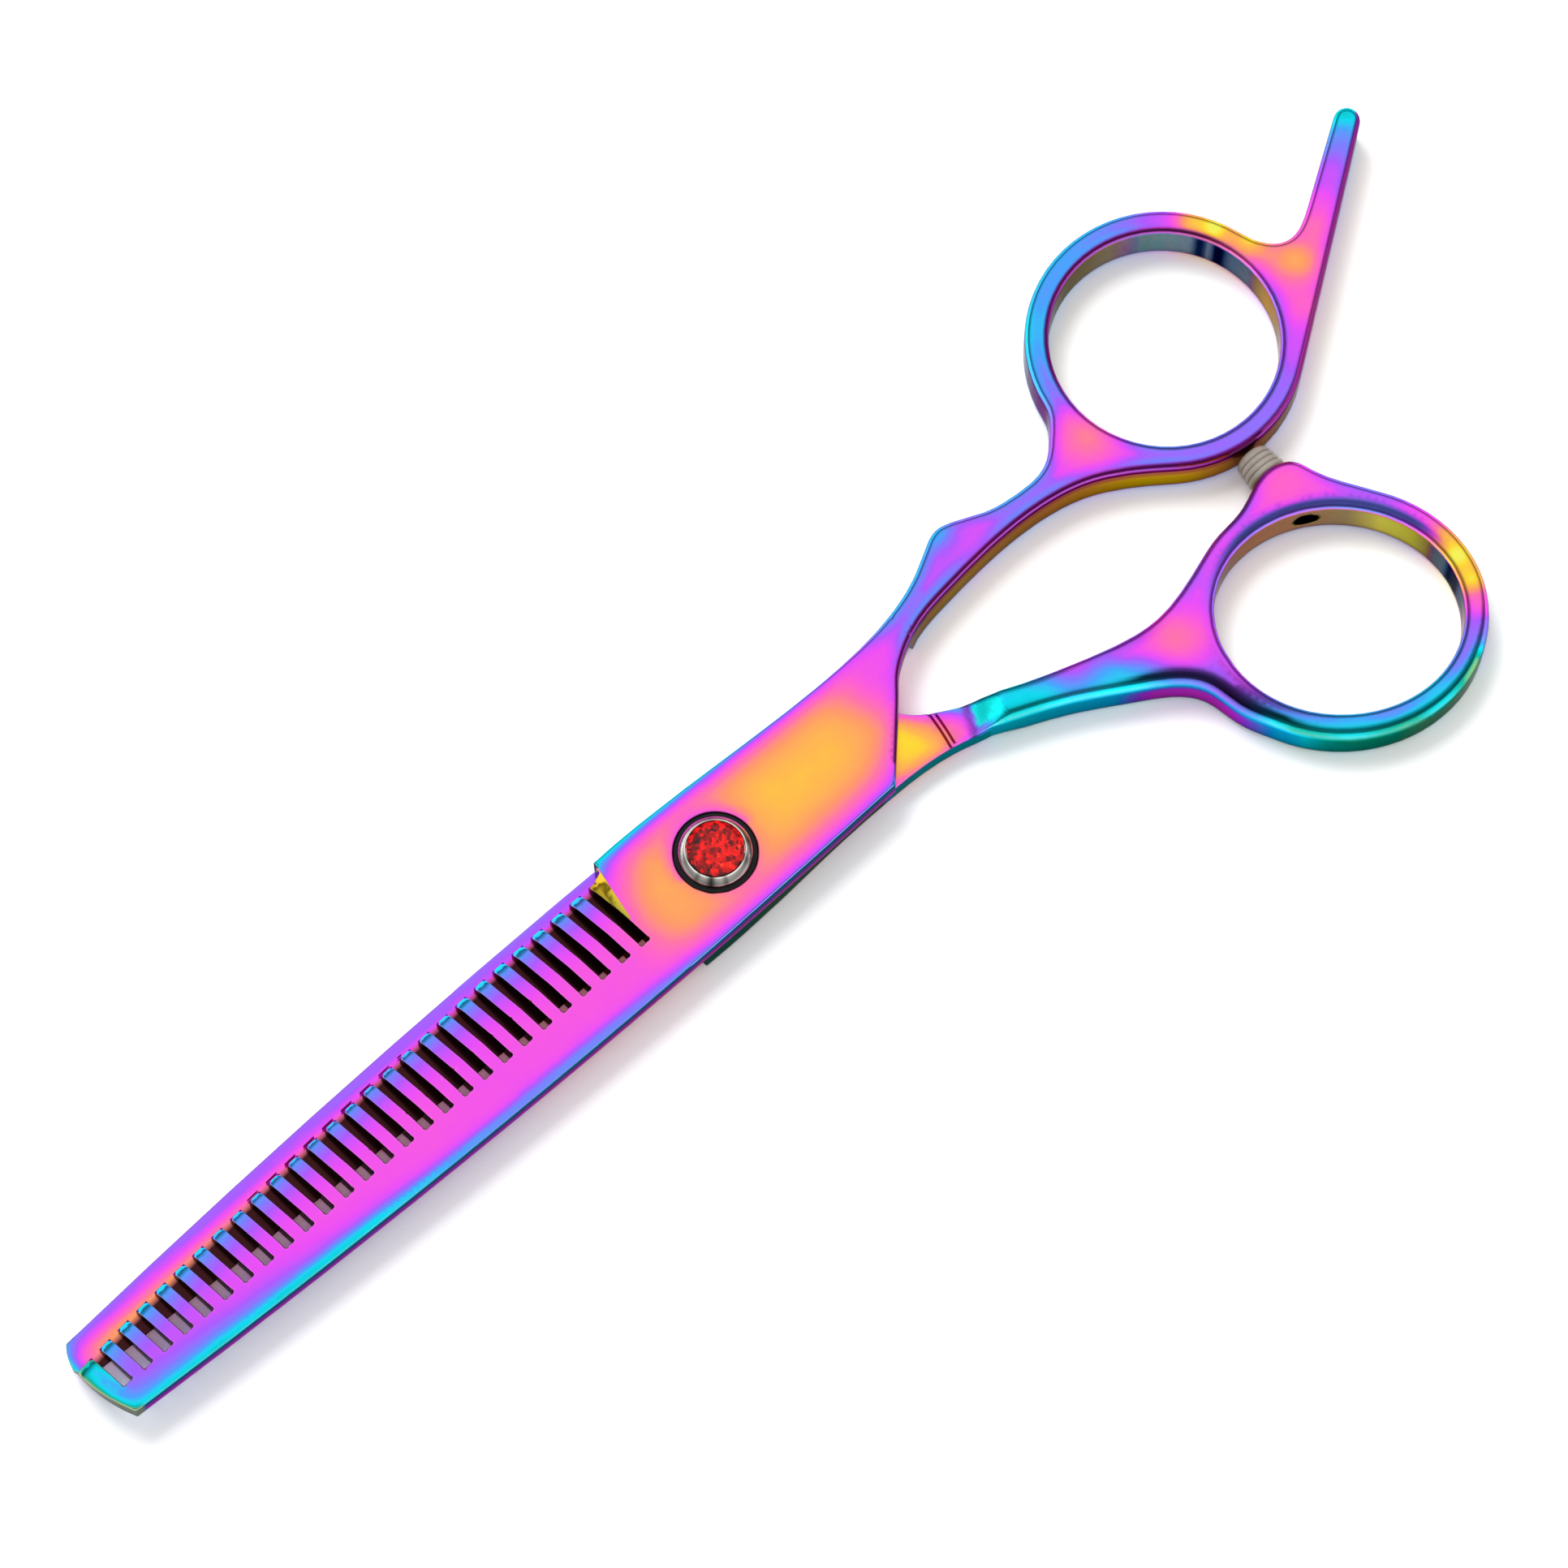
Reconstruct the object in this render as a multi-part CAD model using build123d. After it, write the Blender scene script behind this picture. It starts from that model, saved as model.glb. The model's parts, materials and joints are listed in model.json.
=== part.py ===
from build123d import *
from math import asin, atan2, cos, degrees, radians, sin
import os

# Hair thinning shears, six inch class: a toothed half that rides on a plain half, held by a
# jewelled pivot screw. Millimetres. The origin is on the pivot axis, in the plane that the
# shears lie on. The blades point to -X, the rings to +X, and +Z is up.

# ---- overall ----
TIP_X = -75.0  # blade tips
HANDLE_THICK = 5.6  # rings and shanks
BLADE_THICK = 2.3  # each half, over the blade and the pivot
RIDE_GAP = 0.1  # between the two inner faces
COMB_LOW = HANDLE_THICK - BLADE_THICK
PLAIN_HIGH = COMB_LOW - RIDE_GAP
PLAIN_BOTTOM = PLAIN_HIGH - BLADE_THICK

# ---- the flat body around the pivot ----
BODY_HALF = 6.75  # half width at the ricasso
BODY_WAIST = 5.85  # half width where the shanks begin
BODY_END_X = 16.8  # the corner where the body turns into its shank
WAIST_X = 18.5
COMB_RICASSO_X = -9.0
PLAIN_RICASSO_X = -7.0
SPINE_BULGE = 6.6  # the spine's distance from the axis at its widest
SPINE_WIDE_X = -26.0
TIP_SPINE_Y = 4.75  # the spine's distance from the axis at the tip

# ---- finger ring, on the toothed half ----
FINGER_X, FINGER_Y = 66.1, 10.1
FINGER_HOLE_R = 11.0
RING_BAND = 2.3
FINGER_R = FINGER_HOLE_R + RING_BAND
TANG_X, TANG_Y = 94.75, 15.15  # centre of the finger rest's rounded end
TANG_R = 1.3

# ---- bumper between the rings ----
BUMPER_R = 2.1
BUMPER_LENGTH = 2.95
BUMPER_GAP = 0.12  # left to the finger ring when the shears are closed
BUMPER_LEAN = 6.0  # its axis from the Y axis, in degrees
BUMPER_GROOVE = 0.2
BUMPER_RIBS = 4
STEM_R = 1.0
STEM_IN_PAD = 1.4
STEM_IN_BOSS = 4.6
BOSS_HALF = 2.2
BOSS_HIGH = 2.13  # from the thumb ring's band to the boss's flat end
BOSS_END = 138.0  # where the boss runs out on the ring's oval, as its parameter in degrees

# ---- thumb ring, on the plain half: an oval ----
THUMB_X = 59.3
THUMB_HOLE_A, THUMB_HOLE_B = 11.7, 10.3
THUMB_TURN = -42.0  # the long axis from +X, in degrees
THUMB_A, THUMB_B = THUMB_HOLE_A + RING_BAND, THUMB_HOLE_B + RING_BAND
BUMPER_TIP = FINGER_R + BUMPER_GAP
BOSS_TIP = BUMPER_TIP + BUMPER_LENGTH
THUMB_Y = FINGER_Y - BOSS_TIP - BOSS_HIGH - THUMB_B

# ---- teeth ----
TEETH_SLOTS = 27
TOOTH_PITCH = 2.377
SLOT_WIDTH = 1.05
SLOT_LEAN = 4.5  # degrees from square to the blade
SLOT_FLOOR_Y = -2.3
LAST_SLOT_X = -10.6
TOOTH_TIP_Y = 1.85  # at the blade's tip
TOOTH_HEEL_Y = 5.6  # at the ricasso
TOOTH_BULGE = 0.95  # how far the line of tooth tips bows out
TOOTH_TIP_THICK = 1.2
TOOTH_BEVEL = 4.9  # width of the outer bevel

# ---- the plain blade's edge ----
EDGE_TIP_Y, EDGE_MID_Y, EDGE_HEEL_Y = 1.0, -0.55, -1.2
EDGE_THICK = 0.35
EDGE_BEVEL = 3.6

# ---- step between the flat body and the full-height shank ----
STEP_R = 28.0
STEP_LEAN = 0.7  # how far the step leans out
RIDE_LINE_R = 24.8
RIDE_LINE = 0.12

# ---- edge rounding ----
HANDLE_ROUND = 0.8  # shanks and rings, outside
RING_ROUND = 0.45  # both ring holes, at each face

# ---- pivot hardware ----
SCREW_R = 2.2
SCREW_FLATS = 3.7  # across the flats that key the screw to the toothed half
THREAD_R = 1.95
FIT = 0.04  # clearance on the radius
HEAD_R = 3.45
RECESS_R = 3.9
HEAD_RECESS_DEEP = 0.7
HEAD_WASHER_THICK = 0.4
HEAD_THICK = 0.45
BEZEL_HIGH = 0.65
BEZEL_TOP_R = 2.95
STONE_R = 2.72
STONE_SEAT = 0.5
STONE_CROWN = 0.55  # above the girdle
STONE_GIRDLE = 0.12
STONE_TABLE = 0.55  # table width as a share of the girdle's
STONE_SIDES = 12
RIDE_WASHER_R = 4.6
RIDE_WASHER_THICK = 0.33
RIDE_WASHER_GAP = 0.02
NUT_POCKET_DEEP = 0.7  # in the plain half's outer face
NUT_POCKET_GAP = 0.3
NUT_SLOT = 0.9
NUT_SLOT_DEEP = 0.4
NUT_GROOVES = 24
NUT_GROOVE_R = 0.16
THRUST_THICK = 0.2
SPRING_HIGH = 0.4
SPRING_THICK = 0.18

FINGER = Vector(FINGER_X, FINGER_Y)
THUMB = Vector(THUMB_X, THUMB_Y)


def finger_point(angle, radius=FINGER_R):
    """A point on a circle about the finger ring's centre."""
    return FINGER + Vector(cos(radians(angle)), sin(radians(angle))) * radius


def round_the_finger(angle):
    """The direction of travel clockwise round the finger ring."""
    return Vector(sin(radians(angle)), -cos(radians(angle)))


def thumb_point(angle, a=THUMB_A, b=THUMB_B):
    """A point on an oval about the thumb ring's centre, by its parameter."""
    flat = Vector(a * cos(radians(angle)), b * sin(radians(angle)))
    return THUMB + flat.rotate(Axis.Z, THUMB_TURN)


def round_the_thumb(angle):
    """The direction of travel anticlockwise round the thumb ring."""
    flat = Vector(-THUMB_A * sin(radians(angle)), THUMB_B * cos(radians(angle)))
    return flat.rotate(Axis.Z, THUMB_TURN).normalized()


def bumper_point(distance, side=0.0):
    """A point on the bumper's axis, measured from the finger ring's centre."""
    along = Vector(-sin(radians(BUMPER_LEAN)), -cos(radians(BUMPER_LEAN)))
    across = Vector(cos(radians(BUMPER_LEAN)), -sin(radians(BUMPER_LEAN)))
    return FINGER + along * distance + across * side


def shank(share, y, ring_left):
    """A point of a shank's edge, at a share of the way from the waist to the ring."""
    return Vector(WAIST_X + share * (ring_left - WAIST_X), y)


def thumb_shank(share, fall, ring_left):
    """A point of the plain half's shank: fall is its share of the thumb ring's drop."""
    return Vector(WAIST_X + share * (ring_left - WAIST_X), fall * THUMB_Y)


def spine(side):
    """One half's spine, from its tip to the end of its body. side is -1 or 1."""
    return ThreePointArc(
        (TIP_X + 1.4, side * TIP_SPINE_Y),
        (SPINE_WIDE_X, side * SPINE_BULGE),
        (BODY_END_X, side * (BODY_WAIST + 0.3)),
    )


def comb_plan():
    """Outline of the toothed half, before its slots and holes are cut."""
    left = FINGER_X - FINGER_R
    angle, tang_low, ring_low = tang_tangent()
    tang = Vector(TANG_X, TANG_Y)
    rise = radians(angle - 2.5)
    tang_high = tang + Vector(-sin(rise), cos(rise)) * TANG_R
    notch = finger_point(-1.2, FINGER_R + 2.4)
    back = spine(-1)
    teeth = ThreePointArc(
        (TIP_X - 0.1, TOOTH_TIP_Y),
        ((TIP_X + COMB_RICASSO_X) / 2, (TOOTH_TIP_Y + TOOTH_HEEL_Y) / 2 + TOOTH_BULGE),
        (COMB_RICASSO_X - 0.4, TOOTH_HEEL_Y),
    )
    tip = ThreePointArc(teeth @ 0, (TIP_X + 0.25, -1.6), back @ 0)
    ricasso = Line(teeth @ 1, (COMB_RICASSO_X, BODY_HALF))
    upper = Spline(
        ricasso @ 1,
        (-4.0, BODY_HALF + 0.05),
        (8.0, BODY_WAIST + 0.4),
        (WAIST_X, BODY_WAIST),
        shank(0.28, BODY_WAIST + 0.95, left),
        shank(0.40, BODY_WAIST + 2.3, left),
        shank(0.48, BODY_WAIST + 3.75, left),
        shank(0.525, BODY_WAIST + 4.35, left),
        shank(0.58, BODY_WAIST + 4.0, left),
        shank(0.67, BODY_WAIST + 2.65, left),
        shank(0.77, BODY_WAIST + 2.0, left),
        shank(0.88, BODY_WAIST + 2.3, left),
        finger_point(179, FINGER_R + 1.3),
        finger_point(168),
        tangents=((1, 0.05), round_the_finger(168)),
    )
    over = ThreePointArc(finger_point(168), finger_point(90), finger_point(14))
    crook = Spline(
        finger_point(14),
        notch,
        tang_high - Vector(cos(rise), sin(rise)) * 9.5,
        tangents=(round_the_finger(14), (cos(rise), sin(rise))),
    )
    tang_back = Line(crook @ 1, tang_high)
    tang_end = TangentArc(tang_high, tang_low, tangent=(cos(rise), sin(rise)))
    tang_front = Line(tang_low, ring_low)
    under = ThreePointArc(ring_low, finger_point(-90), finger_point(-128))
    corner = back @ 1
    fork = Vector(BODY_END_X + 5.2, -0.85)
    lower = Spline(
        finger_point(-128),
        shank(0.93, 4.35, left),
        shank(0.80, 5.35, left),
        shank(0.62, 5.55, left),
        shank(0.44, 5.05, left),
        shank(0.28, 3.9, left),
        shank(0.175, 1.8, left),
        fork,
        tangents=(round_the_finger(-128), (corner - fork).normalized()),
    )
    diagonal = Line(lower @ 1, corner)
    outline = [teeth, ricasso, upper, over, crook, tang_back, tang_end, tang_front, under]
    return make_face(outline + [lower, diagonal, back, tip])


def tang_tangent():
    """The line that touches the finger ring and the tang's end from below."""
    reach = Vector(TANG_X, TANG_Y) - FINGER
    lean = degrees(asin((FINGER_R - TANG_R) / reach.length))
    angle = degrees(atan2(reach.Y, reach.X)) + lean
    down = Vector(sin(radians(angle)), -cos(radians(angle)))
    return angle, Vector(TANG_X, TANG_Y) + down * TANG_R, FINGER + down * FINGER_R


def plain_plan():
    """Outline of the plain half, before its holes are cut."""
    left = THUMB_X - THUMB_A
    back = spine(1)
    edge = ThreePointArc(
        (TIP_X + 0.3, EDGE_TIP_Y),
        ((TIP_X + PLAIN_RICASSO_X) / 2, EDGE_MID_Y),
        (PLAIN_RICASSO_X - 0.4, EDGE_HEEL_Y),
    )
    tip = ThreePointArc(back @ 0, (TIP_X + 0.55, 3.0), edge @ 0)
    ricasso = Line(edge @ 1, (PLAIN_RICASSO_X, -BODY_HALF))
    outer = Spline(
        ricasso @ 1,
        (-2.0, -BODY_HALF + 0.02),
        (8.0, -BODY_WAIST - 0.4),
        (WAIST_X, -BODY_WAIST - 0.05),
        thumb_shank(0.24, 0.321, left),
        thumb_shank(0.42, 0.405, left),
        thumb_shank(0.62, 0.524, left),
        thumb_shank(0.80, 0.662, left),
        thumb_point(214, THUMB_A + 1.0, THUMB_B + 1.0),
        thumb_point(228, THUMB_A + 0.4, THUMB_B + 0.4),
        thumb_point(245),
        tangents=((1, -0.02), round_the_thumb(245)),
    )
    bottom = oval_arc(245, 432)
    boss_out = Spline(
        thumb_point(72),
        thumb_point(88, THUMB_A + 0.4, THUMB_B + 0.55),
        bumper_point(BOSS_TIP + 2.6, BOSS_HALF + 1.0),
        bumper_point(BOSS_TIP + 0.75, BOSS_HALF),
        bumper_point(BOSS_TIP),
        bumper_point(BOSS_TIP + 0.5, -BOSS_HALF),
        bumper_point(BOSS_TIP + 1.35, -BOSS_HALF - 1.6),
        thumb_point(BOSS_END),
        tangents=(round_the_thumb(72), round_the_thumb(BOSS_END)),
    )
    top = oval_arc(BOSS_END, 152)
    fork = Vector(BODY_END_X + 5.6, -0.75)
    inner = Spline(
        thumb_point(152),
        thumb_shank(1.15, 0.464, left),
        thumb_shank(1.03, 0.486, left),
        thumb_shank(0.85, 0.452, left),
        thumb_shank(0.63, 0.362, left),
        thumb_shank(0.41, 0.248, left),
        thumb_shank(0.23, 0.129, left),
        fork,
        tangents=(round_the_thumb(152), (back @ 1 - fork).normalized()),
    )
    diagonal = Line(inner @ 1, back @ 1)
    return make_face([edge, ricasso, outer, bottom, boss_out, top, inner, diagonal, back, tip])


def oval_arc(start, end):
    """Part of the thumb ring's outer oval."""
    sweep = end - start
    return EllipticalCenterArc(
        THUMB,
        THUMB_A,
        THUMB_B,
        start_angle=start,
        arc_size=sweep,
        rotation=THUMB_TURN,
    )


def slab(low, high, left=-200.0, right=200.0):
    """A wide block between two heights, and between two planes across the shears."""
    block = Box(right - left, 200, high - low, align=(Align.MIN, Align.CENTER, Align.MIN))
    return Pos(left, 0, low) * block


def handle_edges(solid, height):
    """The smooth run of edges round a shank and its ring, in one level plane."""
    level = solid.edges().filter_by_position(Axis.Z, height, height)
    return [
        edge for edge in level if edge.length > 3 and edge.bounding_box().max.X > BODY_END_X + 3
    ]


def rounded(plan):
    """A half's full-height blank, with the edges of its shank and ring rounded."""
    blank = extrude(plan, HANDLE_THICK)
    blank = fillet(handle_edges(blank, 0), HANDLE_ROUND)
    return fillet(handle_edges(blank, HANDLE_THICK), HANDLE_ROUND)


def grind(rows, low, high):
    """A wedge that thins a blade: rows of (x, y of the crease, y of the edge)."""
    sections = []
    for x, crease, edge in rows:
        reach = edge + (edge - crease) * 0.2
        depth = low + (low - high) * 0.2
        lip = Polyline((x, crease, high), (x, reach, depth), (x, reach, high), close=True)
        sections.append(make_face(lip))
    return loft(sections, ruled=True)


def comb_half():
    """The toothed half: blade, flat body, shank, finger ring and finger rest."""
    body = rounded(comb_plan())
    under = Pos(0, 0, COMB_LOW) * Rot(180, 0, 0) * Cone(STEP_R, STEP_R + STEP_LEAN, 9, align=BASE)
    body -= under + slab(-1, COMB_LOW, right=0.0)
    body = pierced(body, make_face(CenterArc((0, 0), FINGER_HOLE_R, 0, 360)), FINGER)
    rows = [
        (TIP_X - 1.0, TOOTH_TIP_Y - TOOTH_BEVEL * 0.7, TOOTH_TIP_Y),
        (COMB_RICASSO_X, TOOTH_HEEL_Y - TOOTH_BEVEL, TOOTH_HEEL_Y),
    ]
    body -= grind(rows, COMB_LOW + TOOTH_TIP_THICK, HANDLE_THICK)
    slot = Box(SLOT_WIDTH, 14, 8, align=(Align.CENTER, Align.MIN, Align.CENTER))
    for index in range(TEETH_SLOTS):
        x = LAST_SLOT_X - index * TOOTH_PITCH
        body -= Pos(x, SLOT_FLOOR_Y, HANDLE_THICK / 2) * Rot(0, 0, SLOT_LEAN) * slot
    body -= Pos(0, 0, HANDLE_THICK - HEAD_RECESS_DEEP) * Cylinder(RECESS_R, 3, align=BASE)
    body -= Pos(0, 0, COMB_LOW - 1) * flatted(SCREW_R + FIT, SCREW_FLATS + 2 * FIT, 5)
    return body


def pierced(body, plan, centre):
    """A half with its ring's hole cut and the hole's two rims rounded."""
    body -= Pos(centre.X, centre.Y, 0) * extrude(plan, HANDLE_THICK)
    closed = [edge for edge in body.edges() if edge.is_closed]
    rims = [edge for edge in closed if (edge.center(CenterOf.BOUNDING_BOX) - centre).X ** 2 < 1]
    return fillet(rims, RING_ROUND)


def flatted(radius, flats, height):
    """A round bar with two flats, standing on its end."""
    bar = Cylinder(radius, height, align=BASE)
    return bar & Box(flats, 3 * radius, height, align=BASE)


def plain_half():
    """The plain half: blade, flat body, shank, thumb ring and bumper boss."""
    body = rounded(plain_plan())
    over = Pos(0, 0, PLAIN_HIGH) * Cone(STEP_R, STEP_R + STEP_LEAN, 9, align=BASE)
    below = Pos(0, 0, PLAIN_BOTTOM) * Rot(180, 0, 0) * Cone(STEP_R, STEP_R + 9, 9, align=BASE)
    body -= over + slab(PLAIN_HIGH, 9, right=0.0)
    body -= below + slab(-1, PLAIN_BOTTOM, right=0.0)
    oval = make_face(Ellipse(THUMB_HOLE_A, THUMB_HOLE_B).edges())
    body = pierced(body, Rot(0, 0, THUMB_TURN) * oval, THUMB)
    rows = [
        (TIP_X - 1.0, EDGE_TIP_Y + EDGE_BEVEL * 0.7, EDGE_TIP_Y),
        (PLAIN_RICASSO_X, EDGE_HEEL_Y + EDGE_BEVEL, EDGE_HEEL_Y),
    ]
    body -= grind(rows, PLAIN_HIGH - EDGE_THICK, PLAIN_BOTTOM)
    body -= Pos(0, 0, PLAIN_BOTTOM - 1) * Cylinder(SCREW_R + FIT, 5, align=BASE)
    body -= Cylinder(RECESS_R + NUT_POCKET_GAP, NUT_POCKET_TOP, align=BASE)
    line = Cylinder(RIDE_LINE_R + RIDE_LINE, 3, align=BASE) - Cylinder(RIDE_LINE_R, 3, align=BASE)
    body -= Pos(0, 0, PLAIN_HIGH - RIDE_LINE) * line
    pocket = Cylinder(RIDE_WASHER_R + FIT, 3, align=BASE)
    body -= Pos(0, 0, RIDE_WASHER_LOW) * pocket
    body -= on_bumper_axis(BOSS_TIP - 1) * Cylinder(STEM_R + FIT, 10, align=BASE)
    return body


def on_bumper_axis(distance):
    """Where a piece on the bumper's axis starts, facing away from the finger ring."""
    start = bumper_point(distance)
    place = Pos(start.X, start.Y, HANDLE_THICK / 2)
    return place * Rot(0, 0, -BUMPER_LEAN) * Rot(90, 0, 0)


def ring(outer, inner, low, high):
    """A flat ring about the pivot axis."""
    disc = Cylinder(outer, high - low, align=BASE) - Cylinder(inner, high - low, align=BASE)
    return Pos(0, 0, low) * disc


BASE = (Align.CENTER, Align.CENTER, Align.MIN)
HEAD_WASHER_LOW = HANDLE_THICK - HEAD_RECESS_DEEP
HEAD_LOW = HEAD_WASHER_LOW + HEAD_WASHER_THICK
BEZEL_LOW = HEAD_LOW + HEAD_THICK
BEZEL_TOP = BEZEL_LOW + BEZEL_HIGH
RIDE_WASHER_LOW = COMB_LOW - RIDE_WASHER_GAP - RIDE_WASHER_THICK
NUT_POCKET_TOP = PLAIN_BOTTOM + NUT_POCKET_DEEP
SPRING_LOW = NUT_POCKET_TOP - SPRING_HIGH
NUT_THICK = SPRING_LOW - THRUST_THICK


def pivot_screw():
    """The screw: bezel and head, keyed shank, round bearing and threaded end."""
    screw = Cylinder(THREAD_R, NUT_POCKET_TOP, align=BASE)
    bearing = COMB_LOW - NUT_POCKET_TOP
    screw += Pos(0, 0, NUT_POCKET_TOP) * Cylinder(SCREW_R, bearing, align=BASE)
    screw += Pos(0, 0, COMB_LOW) * flatted(SCREW_R, SCREW_FLATS, HEAD_LOW - COMB_LOW)
    screw += Pos(0, 0, HEAD_LOW) * Cylinder(HEAD_R, HEAD_THICK, align=BASE)
    screw += Pos(0, 0, BEZEL_LOW) * Cone(HEAD_R, BEZEL_TOP_R, BEZEL_HIGH, align=BASE)
    seat = Pos(0, 0, BEZEL_TOP - STONE_SEAT) * Cylinder(STONE_R + FIT, 2, align=BASE)
    return screw - seat


def pivot_jewel():
    """The stone: a small-faceted disc with a table."""
    low = BEZEL_TOP - STONE_SEAT
    girdle = RegularPolygon(STONE_R, STONE_SIDES)
    base = Pos(0, 0, low) * extrude(girdle, STONE_SEAT + STONE_GIRDLE)
    top = BEZEL_TOP + STONE_GIRDLE
    turned = Rot(0, 0, 180 / STONE_SIDES) * RegularPolygon(STONE_R * STONE_TABLE, STONE_SIDES)
    crown = loft([Pos(0, 0, top) * girdle, Pos(0, 0, top + STONE_CROWN) * turned], ruled=True)
    return base + crown


def tension_nut():
    """The nut: a driver slot across its outer face and fine grooves round its side."""
    nut = ring(RECESS_R, THREAD_R + FIT, 0, NUT_THICK)
    nut -= Box(3 * RECESS_R, NUT_SLOT, 2 * NUT_SLOT_DEEP)
    groove = Pos(RECESS_R, 0, -1) * Cylinder(NUT_GROOVE_R, 9, align=BASE)
    for index in range(NUT_GROOVES):
        nut -= Rot(0, 0, index * 360 / NUT_GROOVES) * groove
    return nut


def spring_washer():
    """A dished spring washer, its inner rim against the plain half."""
    inner, outer = SCREW_R + FIT + 0.1, RECESS_R - 0.2
    low, high = SPRING_LOW, NUT_POCKET_TOP
    wall = Polyline(
        (inner, 0, high - SPRING_THICK),
        (outer, 0, low),
        (outer, 0, low + SPRING_THICK),
        (inner, 0, high),
        close=True,
    )
    return revolve(make_face(wall), Axis.Z)


def bumper_pad():
    """The rubber barrel: ribs round its side and a domed end."""
    half_rib = BUMPER_LENGTH / BUMPER_RIBS / 4
    points = [(0, 0), (BUMPER_R - BUMPER_GROOVE, 0)]
    for index in range(BUMPER_RIBS):
        middle = (4 * index + 2) * half_rib
        radius = BUMPER_R - 0.08 * index
        points.append((radius, middle - half_rib))
        points.append((radius, middle + half_rib))
        if index < BUMPER_RIBS - 1:
            points.append((radius - BUMPER_GROOVE, middle + 2 * half_rib))
    points.append((0.75 * BUMPER_R, BUMPER_LENGTH))
    points.append((0, BUMPER_LENGTH))
    wall = Polyline(*[(x, 0, y) for x, y in points], close=True)
    pad = revolve(make_face(wall), Axis.Z)
    pad -= Cylinder(STEM_R + FIT, STEM_IN_PAD + FIT, align=BASE)
    return on_bumper_axis(BOSS_TIP) * Rot(180, 0, 0) * pad


def bumper_stem():
    """The stud between the boss and the pad."""
    stem = Cylinder(STEM_R, STEM_IN_PAD + STEM_IN_BOSS, align=BASE)
    return on_bumper_axis(BOSS_TIP - STEM_IN_PAD) * stem


PARTS = {
    "comb_half": comb_half(),
    "plain_half": plain_half(),
    "pivot_screw": pivot_screw(),
    "pivot_jewel": pivot_jewel(),
    "head_washer": ring(RECESS_R - FIT, SCREW_R + FIT, HEAD_WASHER_LOW, HEAD_LOW),
    "ride_washer": ring(RIDE_WASHER_R, SCREW_R + FIT, RIDE_WASHER_LOW, COMB_LOW - RIDE_WASHER_GAP),
    "spring_washer": spring_washer(),
    "thrust_washer": ring(RECESS_R - 0.1, THREAD_R + FIT, NUT_THICK, SPRING_LOW),
    "tension_nut": tension_nut(),
    "bumper_pad": bumper_pad(),
    "bumper_stem": bumper_stem(),
}

os.makedirs("parts", exist_ok=True)
for name, shape in PARTS.items():
    export_step(shape, f"parts/{name}.step")
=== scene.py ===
# Thinning shears: two rainbow-coated halves, a jewelled pivot and a rubber bumper
import json
import math
import random

import bmesh
import bpy
import numpy as np
from mathutils import Matrix, Vector
from mathutils.geometry import delaunay_2d_cdt


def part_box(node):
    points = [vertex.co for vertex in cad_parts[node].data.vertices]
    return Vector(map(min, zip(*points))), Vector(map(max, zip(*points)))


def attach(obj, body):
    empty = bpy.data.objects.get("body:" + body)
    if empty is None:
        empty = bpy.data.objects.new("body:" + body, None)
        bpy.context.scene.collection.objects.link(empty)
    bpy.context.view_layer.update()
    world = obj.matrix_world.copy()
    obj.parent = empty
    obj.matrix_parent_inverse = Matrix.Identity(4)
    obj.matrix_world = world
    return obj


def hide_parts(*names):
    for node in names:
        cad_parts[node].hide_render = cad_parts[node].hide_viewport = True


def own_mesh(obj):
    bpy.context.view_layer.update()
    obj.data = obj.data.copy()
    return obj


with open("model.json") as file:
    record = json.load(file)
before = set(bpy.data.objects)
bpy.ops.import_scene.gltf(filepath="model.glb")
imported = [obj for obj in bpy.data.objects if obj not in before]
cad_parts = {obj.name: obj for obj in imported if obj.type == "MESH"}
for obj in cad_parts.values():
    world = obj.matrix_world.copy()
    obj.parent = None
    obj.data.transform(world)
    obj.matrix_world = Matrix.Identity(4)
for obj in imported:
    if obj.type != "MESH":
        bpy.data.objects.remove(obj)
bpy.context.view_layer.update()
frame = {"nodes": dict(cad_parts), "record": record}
mm = 0.001
random.seed(7)


# places that come from the frame, in mm
def nodeBox(node):
    low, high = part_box(node)
    return np.array(low) / mm, np.array(high) / mm


pivotZ = nodeBox("ride_washer")[1][2]
handleTop = nodeBox("comb_half")[1][2]
combLow = pivotZ + 0.02
plainHigh = combLow - 0.1
plainLow = plainHigh - (handleTop - combLow)
fingerMount = [m for m in frame["record"]["mounts"] if m["name"] == "finger_ring"][0]
fingerX, fingerY = [v / mm for v in fingerMount["pos_m"][:2]]
thumbBox = frame["record"]["physics"]["openings"][0]["box_m"]
thumbX, thumbY = [(a + b) / 2 / mm for a, b in zip(*thumbBox)][:2]


# wraps a socket, so that sums on it add their Math nodes
class Val:
    def __init__(self, socket):
        self.socket = socket
        self.tree = socket.id_data

    def math(self, operation, *others):
        node = self.tree.nodes.new("ShaderNodeMath")
        node.operation = operation
        for slot, value in zip(node.inputs, (self,) + others):
            plug(slot, value)
        return Val(node.outputs[0])

    def __add__(self, other):
        return self.math("ADD", other)

    def __radd__(self, other):
        return self.math("ADD", other)

    def __sub__(self, other):
        return self.math("SUBTRACT", other)

    def __rsub__(self, other):
        return (self * -1.0).math("ADD", other)

    def __mul__(self, other):
        return self.math("MULTIPLY", other)

    def __rmul__(self, other):
        return self.math("MULTIPLY", other)

    def __pow__(self, other):
        return self.math("POWER", other)

    def clamp(self):
        return self.math("MAXIMUM", 0.0).math("MINIMUM", 1.0)


def plug(socket, value):
    if isinstance(value, Val):
        socket.id_data.links.new(value.socket, socket)
    else:
        socket.default_value = value


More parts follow.
